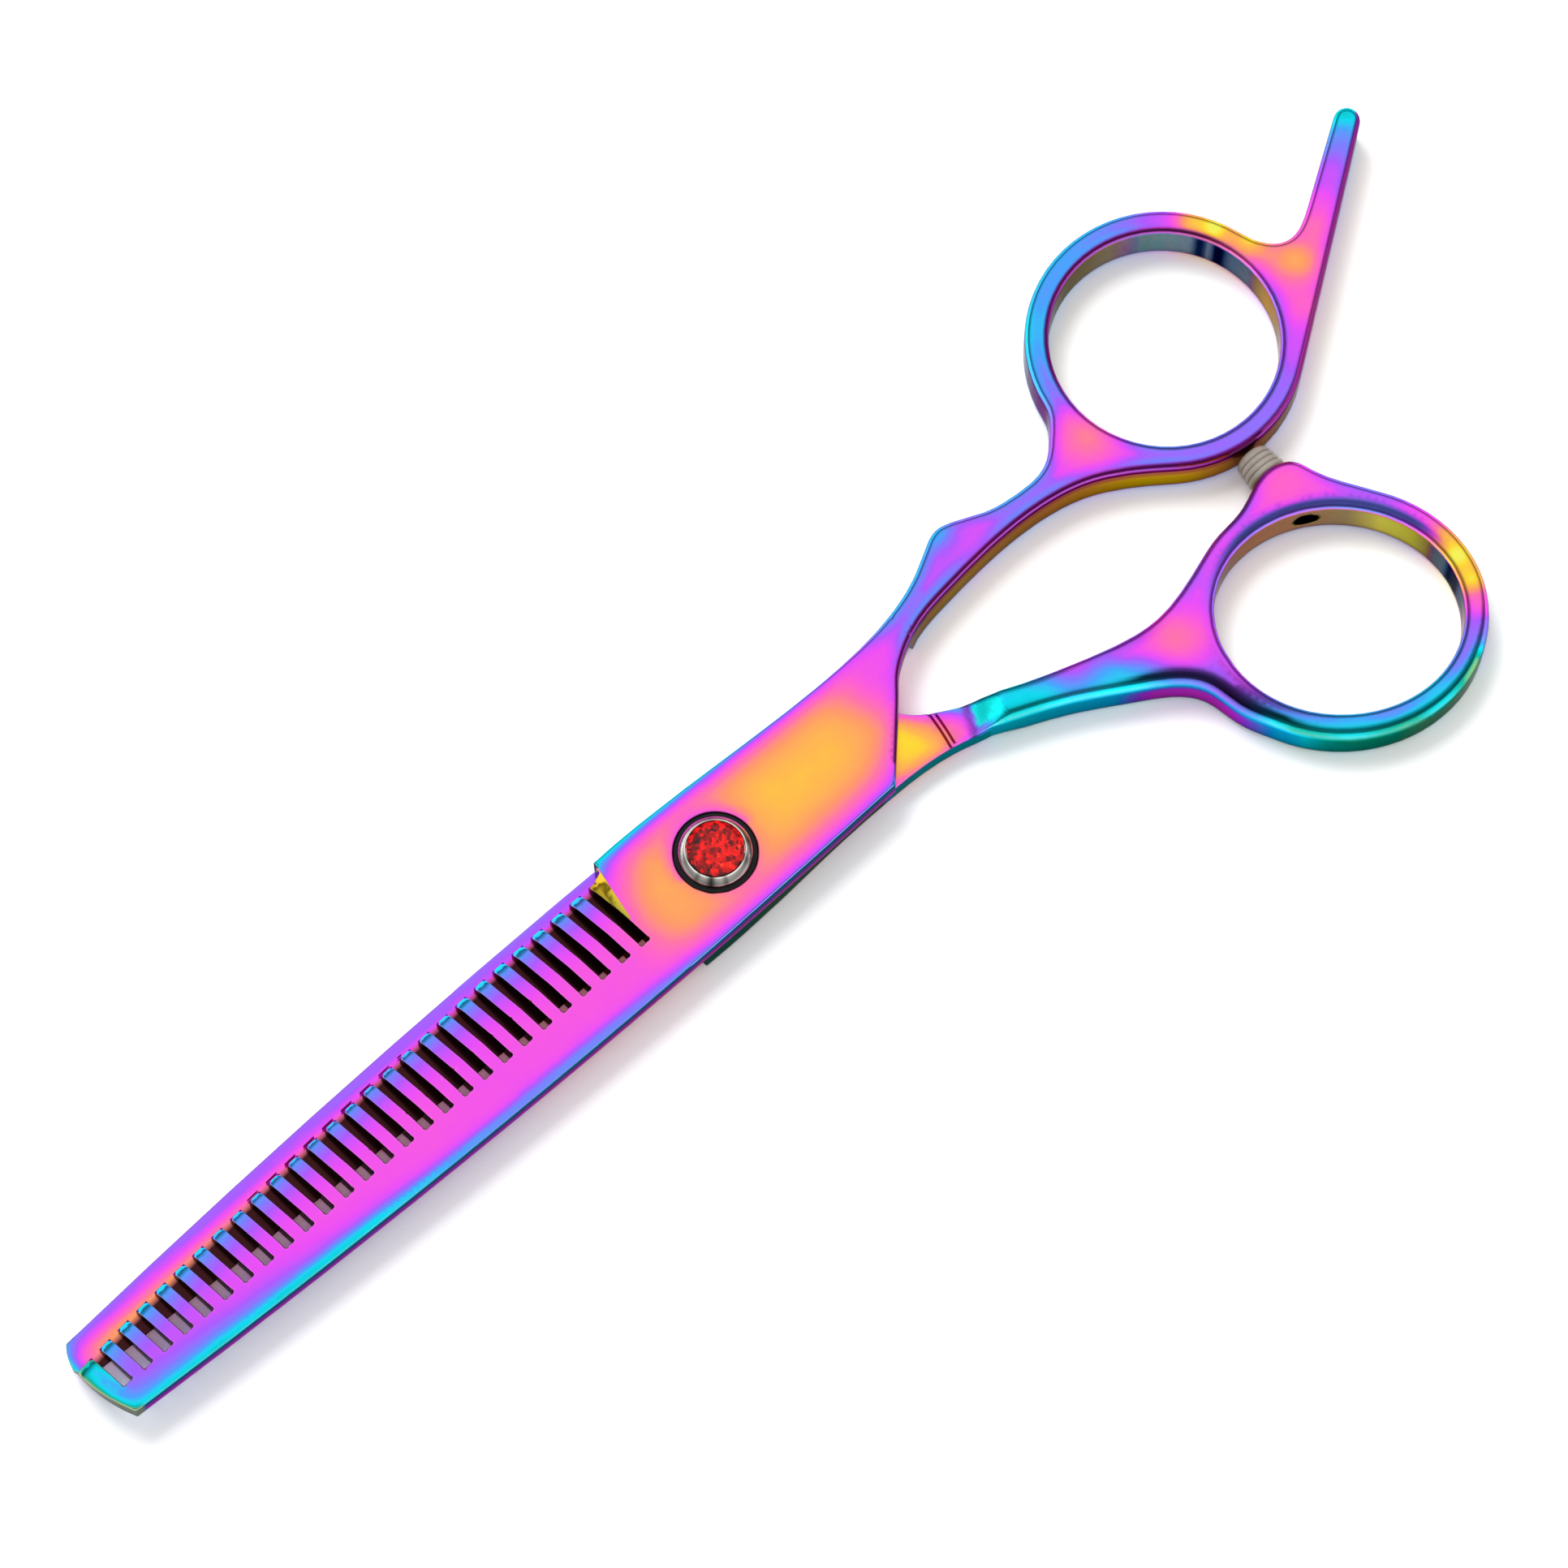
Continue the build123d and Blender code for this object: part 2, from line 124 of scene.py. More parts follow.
class Finish:
    # one material, its shader and the method that adds any other node
    def __init__(self, name, **constants):
        self.material = bpy.data.materials.new(name)
        self.material.use_nodes = True
        self.tree = self.material.node_tree
        self.shader = self.tree.nodes["Principled BSDF"]
        for label, value in constants.items():
            self.shader.inputs[label.replace("_", " ")].default_value = value

    def add(self, kind, settings=None, out=0, **inputs):
        node = self.tree.nodes.new("ShaderNode" + kind)
        for key, value in (settings or {}).items():
            if key == "stops":
                fillRamp(node.color_ramp, value)
            else:
                setattr(node, key, value)
        for label, value in inputs.items():
            plug(node.inputs[label.replace("_", " ")], value)
        return Val(node.outputs[out])

    def noise(self, scale, detail=3.0, rough=0.5, stretch=None, warp=0.0):
        where = self.add("TexCoord", out=3)
        if stretch:
            where = self.add("Mapping", Vector=where, Scale=stretch)
        return self.add("TexNoise", Vector=where, Scale=scale, Detail=detail, Roughness=rough,
                        Distortion=warp)

    def bump(self, height, strength, distance):
        made = self.add("Bump", Height=height, Strength=strength, Distance=distance)
        plug(self.shader.inputs["Normal"], made)

    def feed(self, label, value):
        plug(self.shader.inputs[label], value)

    def blend(self, factor, first, second, how="MIX"):
        node = self.tree.nodes.new("ShaderNodeMix")
        node.data_type = "RGBA"
        node.blend_type = how
        plug(node.inputs[0], factor)
        plug(node.inputs[6], first)
        plug(node.inputs[7], second)
        return Val(node.outputs[2])


def fillRamp(ramp, stops):
    while len(ramp.elements) > 1:
        ramp.elements.remove(ramp.elements[-1])
    ramp.elements[0].position = stops[0][0]
    ramp.elements[0].color = stops[0][1]
    for place, colour in stops[1:]:
        ramp.elements.new(place).color = colour


def tone(code, gain=1.0):
    parts = [int(code[i:i + 2], 16) / 255 for i in (0, 2, 4)]
    line = [p / 12.92 if p <= 0.04045 else ((p + 0.055) / 1.055) ** 2.4 for p in parts]
    return tuple(p * gain for p in line) + (1.0,)


# the rainbow coat: the ramp runs over the tint; a second attribute mixes in pale steel as a painted
# highlight along top edges and as painted greyish reflections on walls; the shade attribute scales the
# colour as painted shade, painted reflection and painted highlight
coat = {
    "stops": [
        (0.00, "f6f25c"), (0.05, "ffd838"), (0.10, "ffba50"), (0.20, "ff9a6c"), (0.30, "ff76a8"),
        (0.41, "ff60d4"), (0.52, "ec50f8"), (0.62, "ae5cff"), (0.71, "7c80ff"), (0.79, "48a6ff"),
        (0.87, "10dcf0"), (0.94, "18a890"), (1.00, "b4d458"),
    ],
    "drift": 0.05,
    "roughness": 0.17,
    "wear": 0.22,
    "steel": "cfd0cc",
    "grazing": (0.35, 0.35, 0.35, 1.0),
}


def coatedSteel(name, grain):
    coatFinish = Finish(name, Metallic=1.0, Specular_Tint=coat["grazing"])
    tint = coatFinish.add("Attribute", {"attribute_name": "tint"}, out=2)
    shade = coatFinish.add("Attribute", {"attribute_name": "shade"}, out=2)
    bare = coatFinish.add("Attribute", {"attribute_name": "bare"}, out=2)
    cloud = coatFinish.noise(90.0, 2.0)
    fine = coatFinish.noise(700.0, 4.0, 0.6)
    brushed = coatFinish.noise(60.0, 5.0, 0.65, stretch=grain)
    drift = (cloud - 0.5) * (2 * coat["drift"]) + (fine - 0.5) * 0.03 + (brushed - 0.5) * 0.05
    stops = [(place, tone(code)) for place, code in coat["stops"]]
    rainbow = coatFinish.add("ValToRGB", {"stops": stops}, Fac=tint + drift)
    # painted highlight and painted reflection: pale steel mixed into the coat, broken up by fine noise
    sheenBreakup = coatFinish.noise(1600.0, 3.0, 0.7)
    sheenMix = bare * (sheenBreakup * 1.2 + 0.2).clamp()
    steel = coatFinish.blend(sheenMix, rainbow, tone(coat["steel"]))
    shaded = coatFinish.blend(1.0, steel, Val(grey(coatFinish, shade)), "MULTIPLY")
    coatFinish.feed("Base Color", shaded)
    coatFinish.feed("Roughness", cloud * 0.06 + brushed * 0.09 + (coat["roughness"] - 0.07))
    coatFinish.bump(brushed * 0.6 + fine * 0.4, 0.06, 0.0001)
    return coatFinish.material


def grey(finish, value):
    node = finish.tree.nodes.new("ShaderNodeCombineColor")
    for slot in node.inputs[:3]:
        plug(slot, value)
    return node.outputs[0]


def sliceLoops(node, height):
    # the closed outlines of a frame solid at a height, the largest first
    cut = bmesh.new()
    cut.from_mesh(frame["nodes"][node].data)
    bmesh.ops.remove_doubles(cut, verts=cut.verts, dist=1e-6)
    everything = cut.verts[:] + cut.edges[:] + cut.faces[:]
    bmesh.ops.bisect_plane(cut, geom=everything, plane_co=(0, 0, height * mm), plane_no=(0, 0, 1),
                           clear_inner=True, clear_outer=True)
    bmesh.ops.remove_doubles(cut, verts=cut.verts, dist=2e-6)
    loops = []
    left = set(cut.verts)
    # taken in order of place, so that every run gives the same outlines
    for start in sorted(cut.verts, key=lambda vert: tuple(vert.co)):
        if start not in left:
            continue
        chain = [start]
        left.discard(start)
        here = start
        while True:
            ahead = [e.other_vert(here) for e in here.link_edges if e.other_vert(here) in left]
            if not ahead:
                break
            here = min(ahead, key=lambda vert: tuple(vert.co))
            left.discard(here)
            chain.append(here)
        if len(chain) > 3:
            loops.append(np.array([[v.co.x, v.co.y] for v in chain]) / mm)
    cut.free()
    loops.sort(key=lambda loop: -abs(loopArea(loop)))
    return loops


def joinLoops(blade, handle, x):
    # the blade's outline left of x and the handle's right of it, as one loop
    parts = []
    for loop, wanted in ((blade, blade[:, 0] < x), (handle, handle[:, 0] >= x)):
        if loopArea(loop) < 0:
            loop, wanted = loop[::-1], wanted[::-1]
        first = np.where(wanted & ~np.roll(wanted, 1))[0][0]
        loop, wanted = np.roll(loop, -first, axis=0), np.roll(wanted, -first)
        parts.append(loop[wanted])
    return np.concatenate(parts)


def loopArea(loop):
    x, y = loop.T
    return 0.5 * float(np.sum(x * np.roll(y, -1) - np.roll(x, -1) * y))


def evenLoop(loop, spacing, outer):
    # keeps corners, spaces the smooth runs evenly, and turns the loop the right way round
    if (loopArea(loop) > 0) != outer:
        loop = loop[::-1]
    ahead = np.roll(loop, -1, axis=0) - loop
    behind = loop - np.roll(loop, 1, axis=0)
    turn = np.abs(np.arctan2(behind[:, 0] * ahead[:, 1] - behind[:, 1] * ahead[:, 0],
                             np.sum(ahead * behind, axis=1)))
    corners = np.where(turn > math.radians(24))[0]
    if len(corners) == 0:
        corners = np.array([0])
    made = []
    for index, corner in enumerate(corners):
        end = corners[(index + 1) % len(corners)]
        if end <= corner:
            end += len(loop)
        run = loop[np.arange(corner, end + 1) % len(loop)]
        steps = np.linalg.norm(np.diff(run, axis=0), axis=1)
        along = np.concatenate([[0], np.cumsum(steps)])
        count = max(1, int(round(along[-1] / spacing)))
        marks = np.linspace(0, along[-1], count + 1)[:-1]
        made.append(np.stack([np.interp(marks, along, run[:, k]) for k in (0, 1)], axis=1))
    return np.concatenate(made)


def segmentDistance(points, starts, ends):
    best = np.full(len(points), 1e9)
    step = ends - starts
    size = np.maximum(np.sum(step * step, axis=1), 1e-12)
    for first in range(0, len(points), 1500):
        part = points[first:first + 1500]
        away = part[:, None, :] - starts[None]
        share = np.clip(np.sum(away * step[None], axis=2) / size[None], 0, 1)
        gap = away - share[..., None] * step[None]
        best[first:first + 1500] = np.sqrt(np.min(np.sum(gap * gap, axis=2), axis=1))
    return best


def insideLoops(points, starts, ends):
    odd = np.zeros(len(points), dtype=bool)
    for first in range(0, len(points), 3000):
        x = points[first:first + 3000, 0][:, None]
        y = points[first:first + 3000, 1][:, None]
        above = (starts[None, :, 1] > y) != (ends[None, :, 1] > y)
        rise = ends[None, :, 1] - starts[None, :, 1]
        rise = np.where(rise == 0, 1e-12, rise)
        cross = starts[None, :, 0] + (y - starts[None, :, 1]) / rise * (ends - starts)[None, :, 0]
        odd[first:first + 3000] = np.sum(above & (x < cross), axis=1) % 2 == 1
    return odd


def circleLoop(x, y, radius, count):
    turn = np.linspace(0, 2 * math.pi, count, endpoint=False)
    return np.stack([x + radius * np.cos(turn), y + radius * np.sin(turn)], axis=1)


def softStep(value, low, high):
    share = np.clip((value - low) / (high - low), 0, 1)
    return share * share * (3 - 2 * share)


rungShares = (0.06, 0.14, 0.25, 0.4, 0.6, 0.82)


def roundDrop(distance, radius):
    inner = np.clip(radius - distance, 0, radius)
    return radius - np.sqrt(np.maximum(radius * radius - inner * inner, 0))


def buildHalf(name, loops, roundAt, topAt, lowAt, paint, creases):
    # a dense plate between two height fields, walled along its outline
    starts = np.concatenate(loops)
    ends = np.concatenate([np.roll(loop, -1, axis=0) for loop in loops])
    normals = []
    for loop in loops:
        along = np.roll(loop, -1, axis=0) - np.roll(loop, 1, axis=0)
        along /= np.maximum(np.linalg.norm(along, axis=1), 1e-9)[:, None]
        normals.append(np.stack([-along[:, 1], along[:, 0]], axis=1))
    normals = np.concatenate(normals)
    clouds = []
    radius = roundAt(starts)
    for share in (0.05, 0.13, 0.22, 0.32, 0.45, 0.6, 0.8, 1.0, 1.5):
        depth = radius * share
        inner = starts + normals * depth[:, None]
        if share > 0.9:
            inner = inner[::2]
            depth = depth[::2]
        gap = segmentDistance(inner, starts, ends)
        keep = (gap > depth * 0.94) & insideLoops(inner, starts, ends)
        clouds.append(inner[keep])
    low, high = starts.min(axis=0), starts.max(axis=0)
    grid = []
    pitch = 0.75
    for row, y in enumerate(np.arange(low[1], high[1], pitch * 0.87)):
        for x in np.arange(low[0] + pitch * 0.5 * (row % 2), high[0], pitch):
            grid.append((x, y))
    grid = np.array(grid)
    ridge = []
    ridgeEdges = []
    for crease in creases:
        fits = insideLoops(crease, starts, ends) & (segmentDistance(crease, starts, ends) > 0.06)
        for index, point in enumerate(crease):
            if fits[index]:
                if index and fits[index - 1]:
                    ridgeEdges.append((len(ridge) - 1, len(ridge)))
                ridge.append(point)
    ridge = np.array(ridge)
    gap = segmentDistance(grid, starts, ends)
    keep = (gap > roundAt(grid) * 1.5 + 0.25) & insideLoops(grid, starts, ends)
    grid = grid[keep]
    grid = grid[segmentDistance(grid, ridge, ridge + 1e-6) > 0.3]
    extra = np.concatenate(clouds)
    gap = segmentDistance(extra, starts, ends)
    extra = extra[(gap > 0.02) & (segmentDistance(extra, ridge, ridge + 1e-6) > 0.1)]
    points = np.concatenate([starts, ridge, extra, grid])
    count = 0
    edges = []
    for loop in loops:
        edges += [(count + i, count + (i + 1) % len(loop)) for i in range(len(loop))]
        count += len(loop)
    folds = [(a + count, b + count) for a, b in ridgeEdges]
    made = delaunay_2d_cdt([Vector(p) for p in points], edges + folds, [], 0, 1e-7)
    flat = np.array([[v.x, v.y] for v in made[0]])
    triangles = np.array([list(f) for f in made[2]])
    middle = flat[triangles].mean(axis=1)
    triangles = triangles[insideLoops(middle, starts, ends)]
    where = {}
    for index, sources in enumerate(made[3]):
        for source in sources:
            where[source] = index
    rim = set(where[i] for i in range(count))
    distance = segmentDistance(flat, starts, ends)
    distance[list(rim)] = 0.0
    top = topAt(flat, distance)
    bottom = lowAt(flat, distance)
    size = len(flat)
    verts = [(x, y, z) for (x, y), z in zip(flat, top)]
    verts += [(x, y, z) for (x, y), z in zip(flat, bottom)]
    faces = [tuple(t) for t in triangles]
    faces += [tuple(int(i) + size for i in t[::-1]) for t in triangles]
    ladder = {}
    for index in sorted(rim):
        rungs = [index]
        for share in rungShares:
            rungs.append(len(verts))
            x, y = flat[index]
            verts.append((x, y, top[index] * (1 - share) + bottom[index] * share))
        rungs.append(index + size)
        ladder[index] = rungs
    for a, b in edges:
        first, second = ladder[where[a]], ladder[where[b]]
        for level in range(len(rungShares) + 1):
            faces.append((second[level], first[level], first[level + 1], second[level + 1]))
    verts = np.array(verts)
    mesh = bpy.data.meshes.new(name)
    mesh.from_pydata((verts * mm).tolist(), [], [tuple(int(i) for i in f) for f in faces])
    half = bpy.data.objects.new(name, mesh)
    bpy.context.collection.objects.link(half)
    clean = bmesh.new()
    clean.from_mesh(mesh)
    loose = [v for v in clean.verts if not v.link_faces]
    bmesh.ops.delete(clean, geom=loose, context="VERTS")
    clean.to_mesh(mesh)
    clean.free()
    placed = np.array([v.co[:] for v in mesh.vertices]) / mm
    gap = segmentDistance(placed[:, :2], starts, ends)
    onWall = gap < 0.004
    normals = np.array([v.normal[:] for v in mesh.vertices])
    tint, shade, bare = paint(placed, gap, onWall, normals)
    for label, values in (("tint", tint), ("shade", shade), ("bare", bare)):
        layer = mesh.attributes.new(label, "FLOAT", "POINT")
        layer.data.foreach_set("value", np.asarray(values, dtype=np.float32))
    mesh.shade_smooth()
    mesh.set_sharp_from_angle(angle=math.radians(38))
    print(name, "faces", len(mesh.polygons))
    return half


def facing(normals, towardX, towardY):
    # 1 where a surface leans towards a direction in plan, 0 where it is level or leans away
    level = np.hypot(normals[:, 0], normals[:, 1])
    along = (normals[:, 0] * towardX + normals[:, 1] * towardY) / np.maximum(level, 1e-3)
    return softStep(level, 0.03, 0.12) * softStep(along, -0.1, 0.5)


def byAngle(turn, rows):
    # three values at an angle in degrees, from rows of angle and the three values
    rows = np.array(sorted(rows))
    return [np.interp(turn, rows[:, 0], rows[:, k], period=360) for k in (1, 2, 3)]


def patched(points, base, patches):
    # pulls the tint towards each patch: x, y, reach in mm, tint, strength
    made = base.copy()
    for x, y, reach, value, strength in patches:
        gap = (points[:, 0] - x) ** 2 + (points[:, 1] - y) ** 2
        weight = strength * np.exp(-gap / (reach * reach))
        made = made * (1 - weight) + value * weight
    return made


# toothed half: patches are x, y, reach in mm, tint and strength
comb = {
    "spacing": 0.36,
    "round": 1.05,
    "taper": 0.1,
    "toothDrop": 1.15,
    "spineBevel": 0.95,
    "spineDrop": 0.34,
    "patches": [
        (0.0, 0.0, 4.6, 0.37, 0.5), (22.6, 3.4, 3.6, 0.50, 0.8), (-6.6, -1.6, 3.0, 0.17, 0.6),
        (38.0, 7.3, 3.2, 0.52, 0.7), (36.4, 9.6, 1.6, 0.80, 0.8), (53.5, 7.4, 3.4, 0.22, 0.85),
        (57.0, 19.0, 5.5, 0.88, 0.7), (64.0, 23.0, 5.0, 0.80, 0.6), (73.6, 19.4, 2.4, 0.56, 0.8),
        (76.0, 17.2, 1.6, 0.12, 0.9), (77.3, 15.2, 2.4, -0.05, 0.97), (79.0, 12.0, 2.6, 0.0, 0.95),
        (80.6, 7.6, 3.2, 0.13, 0.95), (78.2, 3.0, 2.6, 0.34, 0.85), (84.6, 9.2, 2.0, 0.26, 0.8),
        (74.6, 0.4, 3.0, 0.52, 0.8), (66.0, -1.6, 7.0, 0.66, 0.8), (86.6, 10.6, 2.2, 0.44, 0.8),
        (89.5, 12.3, 2.2, 0.56, 0.8), (92.3, 14.0, 2.0, 0.72, 0.8), (94.8, 15.4, 1.8, 0.90, 0.9),
    ],
    # painted reflections on the finger ring's inner wall: angle in degrees, tint, shade and pale steel
    # share
    "ringWall": [
        (-170, 0.10, 0.60, 0.5), (-90, 0.08, 0.65, 0.4), (-40, 0.08, 0.95, 0.2),
        (-16, 0.08, 0.90, 0.1), (-5, 0.08, 0.45, 0.6), (-1, 0.80, 0.40, 0.9), (12, 0.80, 0.36, 0.6),
        (17, 0.76, 0.06, 0.3), (21, 0.76, 0.06, 0.3), (24, 0.80, 0.50, 0.8), (27, 0.76, 0.08, 0.3),
        (30, 0.76, 0.10, 0.3), (34, 0.82, 0.52, 0.8), (58, 0.90, 0.56, 0.8), (75, 0.06, 0.55, 0.8),
        (110, 0.04, 0.52, 0.45), (150, 0.06, 0.55, 0.4),
    ],
}


def toothTipY(x):
    share = (x + 75.0) / 66.0
    return 1.85 + 3.75 * share + 3.8 * 0.95 * share * (1 - share)


def ricassoX(y):
    # the slanted line where the flat body drops to the teeth
    return -9.0 - 1.05 * np.clip((6.7 - y) / 6.1, 0, 1)


def spineY(x):
    return 4.75 + 1.85 * np.sin(np.clip((x + 74.0) / 96.0, 0, 1) * math.pi * 0.5) ** 0.9


def combRound(points):
    reach = np.hypot(points[:, 0], points[:, 1])
    grown = softStep(np.where(points[:, 0] > 0, reach, 0), 16, 32)
    return 0.34 + (comb["round"] - 0.34) * grown * (1 + 0.25 * softStep(-points[:, 1], -6, 4))


def combTop(points, distance):
    x, y = points.T
    drop = roundDrop(distance, combRound(points))
    blade = x < -9.0
    drop = np.where(blade, roundDrop(distance, 0.12), drop)
    crease = toothTipY(x) - 4.9
    share = np.clip((y - crease) / 4.9, 0, 1.02)
    step = np.clip((ricassoX(y) - x) / 0.75, 0, 1)
    drop = drop + step * comb["toothDrop"] * share
    lip = np.clip((y - toothTipY(x) + 0.8) / 0.8, 0, 1)
    drop = drop + np.where(x < -10, 0.45 * lip, 0)
    back = np.clip((comb["spineBevel"] - (y + spineY(x))) / comb["spineBevel"], 0, 1)
    narrow = 1 - softStep(x, -12, 6)
    drop = drop + comb["spineDrop"] * back * narrow
    nose = np.clip((-73.9 - x) / 1.1, 0, 1)
    drop = drop + 0.12 * nose
    drop = drop + comb["taper"] * np.clip((-9 - x) / 66, 0, 1)
    return handleTop - drop


def combLowFace(points, distance):
    reach = np.hypot(points[:, 0], points[:, 1])
    rise = combLow * (1 - softStep(reach, 27.9, 28.7) * (points[:, 0] > 0))
    handle = softStep(np.where(points[:, 0] > 0, reach, 0), 27.9, 29.5)
    return rise + handle * roundDrop(distance, combRound(points))


def paintComb(verts, gap, onWall, normals):
    x, y, z = verts.T
    reach = np.hypot(x, y)
    flat = verts[:, :2]
    across = np.abs(y) / 6.5
    body = 0.09 + 0.35 * across ** 2.4 + (0.12 + 0.12 * (y > 0)) * across ** 9
    body = body + (0.14 + 0.24 * (y > 0)) * np.exp(-gap / 0.55)
    fromCorner = (22.5 - x) + 0.72 * (y + 0.9)
    body = body + 0.36 * np.exp(-np.clip(np.abs(fromCorner) / 2.4, 0, 9)) * (y < 3)
    body = np.minimum(body + 0.06 * softStep(-x, 1, 9), 0.88)
    tip = np.clip((-40 - x) / 35, 0, 1)
    bladeTint = 0.46 + 0.12 * tip
    spine = np.exp(-np.clip(y + spineY(x), 0, 9) / (0.42 + 0.95 * tip))
    spineTone = 0.72 + 0.16 * softStep(-x, 26, 50)
    bladeTint = bladeTint + (spineTone - bladeTint) * np.clip(spine * 1.25, 0, 1)
    root = np.clip((y + 2.3) / np.maximum(toothTipY(x) + 2.3, 0.5), 0, 1)
    bladeTint = bladeTint + (0.89 - bladeTint) * (root ** (2.6 - 1.2 * tip)) * 0.97
    nose = np.exp(-np.clip(x + 75.1, 0, 9) / 1.5)
    bladeTint = bladeTint + (0.88 - bladeTint) * np.clip(nose * 1.15, 0, 1)
    rim = np.exp(-gap / 0.4) * softStep(-x, 72.4, 73.6)
    bladeTint = bladeTint + (1.0 - bladeTint) * rim
    share = softStep(x, -13.5, -5.0)
    tint = bladeTint * (1 - share) + body * share
    slotRight = -10.07 - 0.0787 * (y + 2.3)
    facet = (x < ricassoX(y) + 0.02) & (x > slotRight - 0.05) & (y > 0.55)
    tint = np.where(facet, 0.02 + 0.05 * (y / 6), tint)
    handle = softStep(x, 19, 28)
    band = np.clip(gap / 1.6, 0, 1)
    handleTint = 0.84 - 0.26 * band
    tint = tint * (1 - handle) + handleTint * handle
    tint = patched(flat, tint, comb["patches"])
    # painted shade: the ricasso facet darkens towards the teeth
    shade = np.where(facet, 0.75 - 0.3 * softStep(-x, 9.6, 10.5), 1.0)
    # painted highlight: a thin pale steel line just inside the top edges, none on the walls
    bare = np.clip((0.16 - gap) * 9, 0, 1) * coat["wear"]
    bare = np.where(onWall, 0.0, bare)
    deep = np.clip((handleTop - 0.9 - z) / 4.0, 0, 1)
    # painted reflection and painted shade on the handle walls: a dark maroon band under the top edge,
    # gold below, darker towards the bottom; the left outer flank painted dark
    handleWall = onWall & (x > 18) & (deep > 0.02)
    outside = handleWall & (x < 60) & (y > 10.5)
    wallTint = np.where(deep < 0.16, 0.44, 0.11 + 0.04 * np.sin(x * 0.31))
    wallShade = np.where(deep < 0.16, 0.16, 0.86 - 0.42 * deep)
    tint = np.where(handleWall, np.where(outside, 0.48 + 0.02 * (y - 10), wallTint), tint)
    shade = np.where(handleWall, np.where(outside, 0.24 + 0.2 * deep, wallShade), shade)
    # painted reflection on the blade walls: dark under the top edge, lighter towards the bottom; the
    # tip wall is pale grey-green with the steel mix
    bladeWall = onWall & (x <= 18) & (handleTop - z > 0.3) & (z > combLow - 0.1)
    below = np.clip((handleTop - 0.4 - z) / 1.9, 0, 1)
    tint = np.where(bladeWall, 0.86 - 0.34 * softStep(below, 0.2, 0.6), tint)
    shade = np.where(bladeWall, 0.16 + 0.8 * below, shade)
    tipWall = bladeWall & (x < -72.8)
    tint = np.where(tipWall, 0.99, tint)
    shade = np.where(tipWall, 0.62, shade)
    bare = np.where(tipWall, 0.9, bare)
    # painted shade and painted reflection: rounded handle edges that face −Y turn dark maroon
    turned = np.exp(-((gap - 0.2) / 0.19) ** 2) * facing(normals, 0.05, -1.0)
    turned = turned * (x > 18) * (z > 3.5)
    tint = tint + (0.44 - tint) * turned
    shade = shade * (1 - 0.84 * turned)
    # painted reflections on the finger ring's inner wall, set by angle
    ring = np.hypot(x - fingerX, y - fingerY)
    inner = (ring < 11.35) & onWall
    turn = np.degrees(np.arctan2(y - fingerY, x - fingerX))
    innerTint, innerShade, innerSheen = byAngle(turn, comb["ringWall"])
    tint = np.where(inner, innerTint, tint)
    shade = np.where(inner, innerShade * (0.75 + 0.3 * deep) * softStep(deep, -0.06, 0.1), shade)
    bare = np.where(inner, innerSheen, bare)
    # painted shade: the walls of the slots between the teeth are near black
    slot = onWall & (x < -10) & (x > -73.4) & (y < toothTipY(x) - 0.15) & (y > -2.5)
    tint = np.where(slot, 0.08, tint)
    shade = np.where(slot, 0.05, shade)
    under = z < combLow + 0.02
    tint = np.where(under & (reach < 28), 0.3 + 0.25 * np.clip(-x / 75, 0, 1), tint)
    return tint, shade, bare


def arcPoints(radius, low, high, gap):
    count = int(radius * math.radians(high - low) / gap)
    turn = np.radians(np.linspace(low, high, count))
    return np.stack([radius * np.cos(turn), radius * np.sin(turn)], axis=1)


def linePoints(first, last, gap):
    count = max(2, int(math.dist(first, last) / gap))
    return np.linspace(first, last, count)


print("toothed half")
combLoops = sliceLoops("comb_half", combLow + 1.05)
combLoops = [evenLoop(combLoops[0], comb["spacing"], True)] + [
    evenLoop(loop, comb["spacing"], False) for loop in combLoops[1:]
    if abs(loop.mean(axis=0)[0]) > 20
]
recess = nodeBox("head_washer")[1][0] + 0.04
combLoops.append(circleLoop(0, 0, recess, 72)[::-1])
combCreases = [linePoints((-9.0 - shift, 6.7), (-10.05 - shift, 0.6), 0.22) for shift in (0.0, -0.07)]
combCreases += [arcPoints(r, -12, 30, 0.5) for r in (27.9, 28.2, 28.5, 28.75)]
backX = np.arange(-73, 6, 0.6)
combCreases.append(np.stack([backX, comb["spineBevel"] - spineY(backX)], axis=1))
combCreases.append(np.stack([backX[:105], toothTipY(backX[:105]) - 4.9], axis=1))
combPiece = buildHalf("coated_comb_half", combLoops, combRound, combTop, combLowFace, paintComb,
                      combCreases)
combPiece.data.materials.append(coatedSteel("rainbowComb", (0.06, 1.0, 1.0)))
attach(combPiece, "comb")
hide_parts("comb_half")


